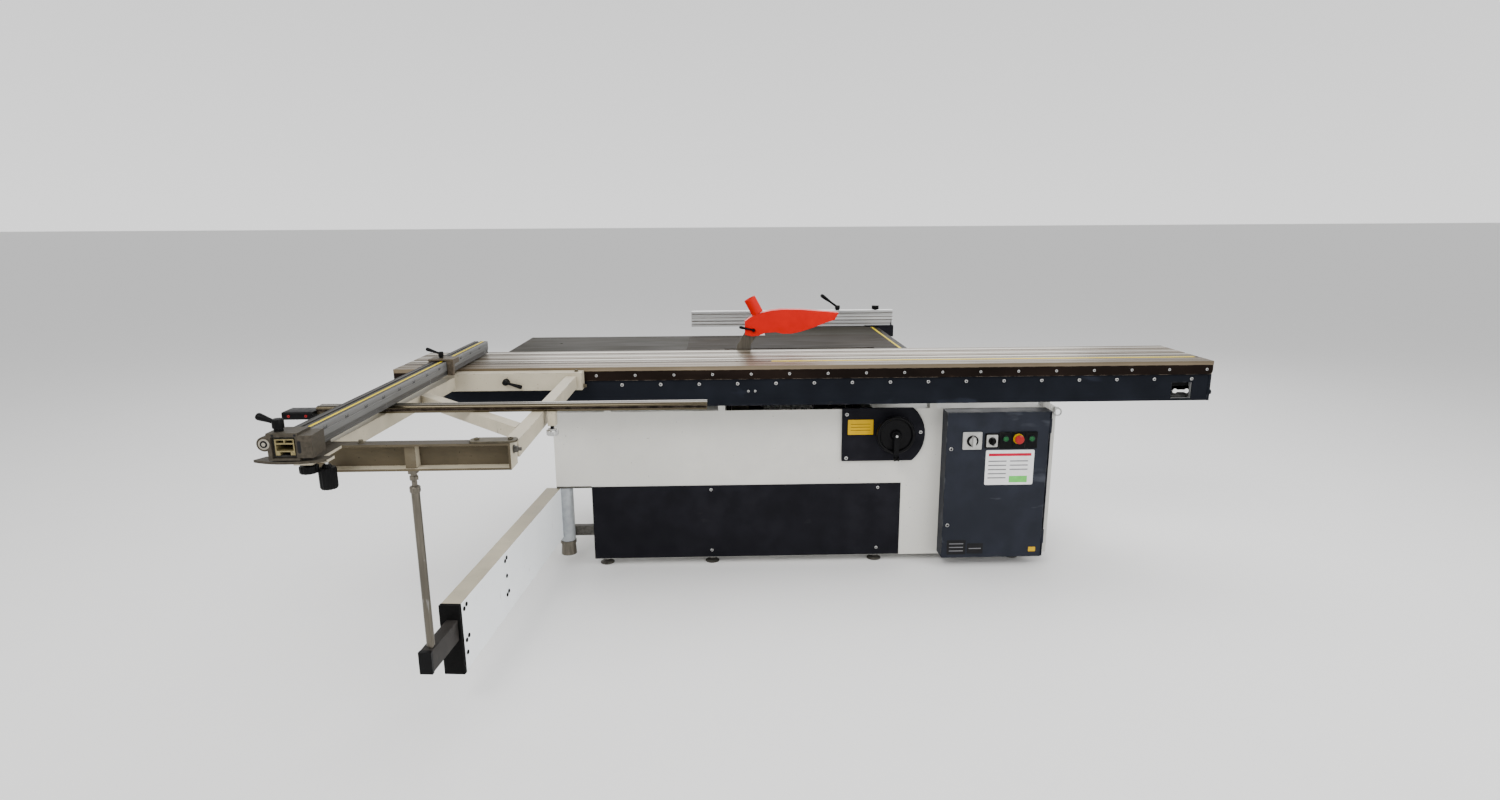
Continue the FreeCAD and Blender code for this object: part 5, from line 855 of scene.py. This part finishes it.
# upright clamps: hub radius and height, where the grip starts and ends off the box, grip radius, in mm
for node_name, size, tall, root, tip, grip in (("casting_lever", 13, 30, (16, 20), (22, 20), 7.5),
        ("stop_lever", 9, 22, (11, 15), (2, 4), 5.6)):
    low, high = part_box(node_name)
    y = (low.y + high.y) / 2
    bm = new()
    hub(bm, (high.x - size * MM, y, low.z), Z, size * MM, tall * MM)
    handle(bm, (high.x - root[0] * MM, y, low.z + root[1] * MM), (low.x + tip[0] * MM, y,
        high.z - tip[1] * MM), grip * MM)
    look(node_name, bm, [BLACK, STEEL])

low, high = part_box("rip_fence")
bm = new()
# Dark stripes along the fence's face, standing for its grooves: painted shade.
for share in (0.12, 0.34, 0.56, 0.80):
    level = low.z + (high.z - low.z) * share
    block(bm, (low.x + 2 * MM, low.y - 0.4 * MM, level), (high.x - 2 * MM, low.y + 0.2 * MM, level + 3 * MM))
make("rip_fence_groove_shade", bm, GROOVE_SHADE, "rip_unit", slot="fence_anodised")
low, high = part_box("fence_lever")
bm = new()
hub(bm, (high.x - 13 * MM, (low.y + high.y) / 2, low.z), Z, 13 * MM, 24 * MM)
start = Vector((high.x - 15 * MM, (low.y + high.y) / 2, low.z + 16 * MM))
tip = Vector((low.x + 6 * MM, (low.y + high.y) / 2, high.z - 6 * MM))
along = tip - start
lathe(bm, [(6 * MM, 0), (6 * MM, along.length * 0.5)], start, along, 20)
lathe(bm, [(6 * MM, along.length * 0.45), (7.5 * MM, along.length * 0.55), (9.6 * MM, along.length * 0.8),
    (10 * MM, along.length * 0.92), (7.5 * MM, along.length * 0.99), (2 * MM, along.length * 1.02)], start,
    along, 24)
look("fence_lever", bm, [BLACK, STEEL])

low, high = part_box("guard_lever")
bm = new()
hub(bm, (high.x - 8 * MM, high.y, low.z + 8 * MM), -Y, 8.0 * MM, 11 * MM)
handle(bm, (high.x - 8 * MM, (low.y + high.y) / 2, low.z + 9 * MM), (low.x + 1 * MM, (low.y + high.y) / 2,
    high.z - 5 * MM), 5.2 * MM)
look("guard_lever", bm, [BLACK, STEEL])

for node_name, lobes in (("knob_one", 12), ("knob_two", 14), ("fence_knob", 16)):
    low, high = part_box(node_name)
    middle, size, tall = (low + high) / 2, (high.x - low.x) / 2, high.z - low.z
    stem = 0.0 if node_name == "fence_knob" else 0.12
    head = [(size * 0.86, 0.0), (size * 0.95, tall * 0.06), (size * 0.955, tall * (0.8 - stem)),
        (size * 0.9, tall * (0.88 - stem)), (size * 0.55, tall * (0.9 - stem)),
        (size * 0.4, tall * (1 - stem))]
    axis, at = Z, Vector((middle.x, middle.y, low.z))
    if node_name == "fence_knob":
        axis, at = -Z, Vector((middle.x, middle.y, high.z))
    bm = new()
    lathe(bm, head, at, axis, lobes * 8, lobes, 0.045)
    paint(lathe(bm, [(5 * MM, tall * 0.5), (5 * MM, tall * 0.995)], at, axis, 20), 1)
    look(node_name, bm, [BLACK, STEEL])

# ------------------------------------------------------------------ mitre fence
low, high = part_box("mitre_fence")
left, right, foot, top = low.x, high.x, low.z, high.z
bm = new()
outline = [(0, 1), (1, 0), (55, 0), (55.4, 1), (55.4, 6), (54, 6), (54, 10.8), (55.4, 10.8), (55.4, 17),
    (57, 18), (57, 33), (56.2, 33.6), (56.2, 35), (57, 35.6), (57, 49.5), (56, 51), (48, 51), (48, 50),
    (46, 50), (46, 51), (43.6, 51), (43.6, 49.4), (34, 49.4), (34, 51), (27, 51), (27, 48), (17, 48),
    (17, 51), (6, 51), (6, 50), (4, 50), (4, 51), (1, 51), (0, 50), (0, 30), (1.4, 28), (1.4, 22), (0, 20)]
void = [(5, 5), (52, 5), (52, 46), (5, 46)]
extrusion(bm, [(left + a * MM, foot + b * MM) for a, b in outline], "y", low.y, high.y,
    [[(left + a * MM, foot + b * MM) for a, b in void]])
# On the fence's right face, the recessed strip below 17 mm gets the darker foot finish as painted shade.
look("mitre_fence", bm, [MITRE, MITRE_FACE, MITRE_LOW_SHADE], 0.3 * MM, 1, choose=lambda at,
    normal: 0 if abs(normal.y) > 0.5 or at.x < right - 4 * MM or at.z > top - 0.2 * MM else 2 if at.z < foot
    + 17 * MM else 1)
bm = new()
tape_low, tape_top = top - 1.5 * MM, top - 0.4 * MM
extrusion(bm, [(left + 34.3 * MM, tape_low), (left + 43.3 * MM, tape_low), (left + 43.3 * MM, tape_top),
    (left + 34.3 * MM, tape_top)], "y", low.y + 90 * MM, high.y - 2 * MM)
for step in range(int((high.y - low.y - 0.1) / TICK_STEP)):
    tick = low.y + 96 * MM + step * TICK_STEP
    reach = tick_reach(step, 7, 5, 3)
    paint(block(bm, (left + (43.1 - reach) * MM, tick, tape_top - 0.05 * MM),
        (left + 43.1 * MM, tick + 0.8 * MM, tape_top + 0.05 * MM)), 1)
for step in range(12):
    tick = low.y + 130 * MM + step * 118 * MM
    for shift, tall in ((0, 9), (5, 6), (10, 6), (15, 9)):
        paint(block(bm, (right - 0.1 * MM, tick + shift * MM, foot + 34 * MM),
            (right + 0.1 * MM, tick + (shift + 2.4) * MM, foot + (34 + tall) * MM)), 2)
make("mitre_scale", bm, [TAPE, PRINT_AND_SHADE, PRINT_AND_SHADE], "crosscut_fence", slot="tape_yellow")

# casting details: ear screw, and flat dark patches for the slot in the wing and the clamp ribs, painted shade
low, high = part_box("end_casting")
bm = new()
ear = (low.x + 18 * MM, low.y, high.z - 26 * MM)
paint(lathe(bm, mm((13, -1), (13, 1.2), (11, 2), (9, 2), (8.8, 0.4)), ear, -Y, 40), 2)
paint(lathe(bm, mm((8.7, 0), (8.7, 2.2), (5.2, 2.2)), ear, -Y, 40), 1)
paint(lathe(bm, mm((5, 0.4), (5, 3), (3.4, 3.6)), ear, -Y, 6), 2)
wing = Vector((high.x - 30 * MM, low.y, (low.z + high.z) / 2))
paint(extrusion(bm, rounded((wing.x - 5 * MM, wing.z - 16 * MM), (wing.x + 3 * MM, wing.z + 14 * MM),
    3.5 * MM), "y", low.y - 0.3 * MM, low.y + 1 * MM), 1)
for across in (0.30, 0.70):
    x = low.x + (high.x - low.x) * across
    paint(extrusion(bm, rounded((x - 3 * MM, high.z - 8 * MM), (x + 3 * MM, high.z - 3 * MM), 1 * MM), "y",
        low.y - 0.3 * MM, low.y + 1 * MM), 1)
make("casting_details", bm, [CASTING, PRINT_AND_SHADE, BRIGHT_METAL_AND_HIGHLIGHT], "crosscut_fence", slot="casting_aluminium",
    bevel=0.3 * MM)

# ------------------------------------------------------------------ blades
def toothed(bm, at, radius, bore, thick, teeth, deep):
    """Blade with raked teeth, lying across Y."""
    outline = []
    for tooth in range(teeth):
        for part, drop in ((0.0, 0), (0.35, deep * 0.25), (0.62, deep * 0.9), (0.8, deep),
                (0.93, deep * 0.85)):
            angle = 2 * math.pi * (tooth + part) / teeth
            outline.append((at.x + (radius - drop) * math.cos(angle),
                at.z + (radius - drop) * math.sin(angle)))
    hole = [(at.x + bore * math.cos(turn * math.pi / 16), at.z + bore * math.sin(turn * math.pi / 16))
        for turn in range(32)]
    extrusion(bm, outline, "y", at.y, at.y + thick, [hole])


low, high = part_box("saw_blade")
hub_at = Vector(((low.x + high.x) / 2, low.y, (low.z + high.z) / 2))
bm = new()
toothed(bm, hub_at + Y * 6 * MM, (high.x - low.x) / 2, 15 * MM, 3 * MM, 48, 9 * MM)
lathe(bm, [(14 * MM, 0), (25 * MM, 0), (25 * MM, 6 * MM), (15.2 * MM, 6 * MM), (15.2 * MM, 9 * MM),
    (25 * MM, 9 * MM), (25 * MM, 11.9 * MM), (12 * MM, 11.9 * MM), (12 * MM, high.y - low.y)], hub_at, Y, 40)
lathe(bm, mm((12, 131.5), (27, 131.5), (27, 134), (24, 136), (24, 149), (27, 151), (27, 153.5), (12, 153.5)),
    hub_at, Y, 40)
look("saw_blade", bm, STEEL)
low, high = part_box("scoring_blade")
hub_at = Vector(((low.x + high.x) / 2, low.y, (low.z + high.z) / 2))
bm = new()
toothed(bm, hub_at, (high.x - low.x) / 2, 10 * MM, 3 * MM, 24, 6 * MM)
lathe(bm, [(10 * MM, 0), (10 * MM, high.y - low.y)], hub_at, Y, 32)
look("scoring_blade", bm, STEEL)

# ------------------------------------------------------------------ rail scale and beam screws
low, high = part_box("fence_rail")
bm = new()
extrusion(bm, [(low.x + 4 * MM, high.z), (low.x + 15 * MM, high.z), (low.x + 15 * MM, high.z + 0.5 * MM),
    (low.x + 4 * MM, high.z + 0.5 * MM)], "y", low.y + 5 * MM, high.y - 20 * MM)
for step in range(int((high.y - low.y - 0.03) / TICK_STEP)):
    tick = low.y + 10 * MM + step * TICK_STEP
    reach = tick_reach(step, 8, 6, 4)
    paint(block(bm, (low.x + 4.5 * MM, tick, high.z + 0.4 * MM), (low.x + (4.5 + reach) * MM, tick + 0.9 * MM,
        high.z + 0.6 * MM)), 1)
make("rail_scale", bm, [TAPE, PRINT_AND_SHADE], "machine", slot="tape_yellow")

low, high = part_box("beam_cover")
bm = new()
for across in (0.0, 26.0):
    socket_screw(bm, (low.x + (1234 + across) * MM, low.y + 2 * MM, low.z + 58 * MM), 5 * MM, 2.2 * MM)
paint(extrusion(bm, rounded((low.x + 1552 * MM, low.z + 8 * MM), (low.x + 1566 * MM, low.z + 12 * MM), 2 * MM,
    3), "y", low.y + 1.4 * MM, low.y + 3 * MM), 1)
make("beam_small_screws", bm, [STEEL, PRINT_AND_SHADE], "machine", slot="screw_steel")

# rear of the chassis: service panel with louvres and its screws
low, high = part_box("chassis_body")
rear = high.y - 60 * MM
bm = new()
panel_low, panel_high = (low.x + 0.62, 0.12), (low.x + 1.15, 0.60)
extrusion(bm, rounded(panel_low, panel_high, 12 * MM), "y", rear, rear + 2 * MM)
for row in range(10):
    z = panel_low[1] + 0.06 + row * 0.036
    outline = [(rear + 2 * MM, z), (rear + 9 * MM, z + 2 * MM), (rear + 8 * MM, z + 6 * MM),
        (rear + 2 * MM, z + 16 * MM)]
    extrusion(bm, outline, "x", panel_low[0] + 0.08, panel_high[0] - 0.08)
for x in (panel_low[0] + 0.02, panel_high[0] - 0.02):
    for z in (panel_low[1] + 0.02, panel_high[1] - 0.02):
        socket_screw(bm, (x, rear + 2 * MM, z), 7 * MM, 3 * MM, Y)
make("rear_service_panel", bm, [PANEL, STEEL], "machine", slot="machine_enamel", bevel=0.6 * MM)
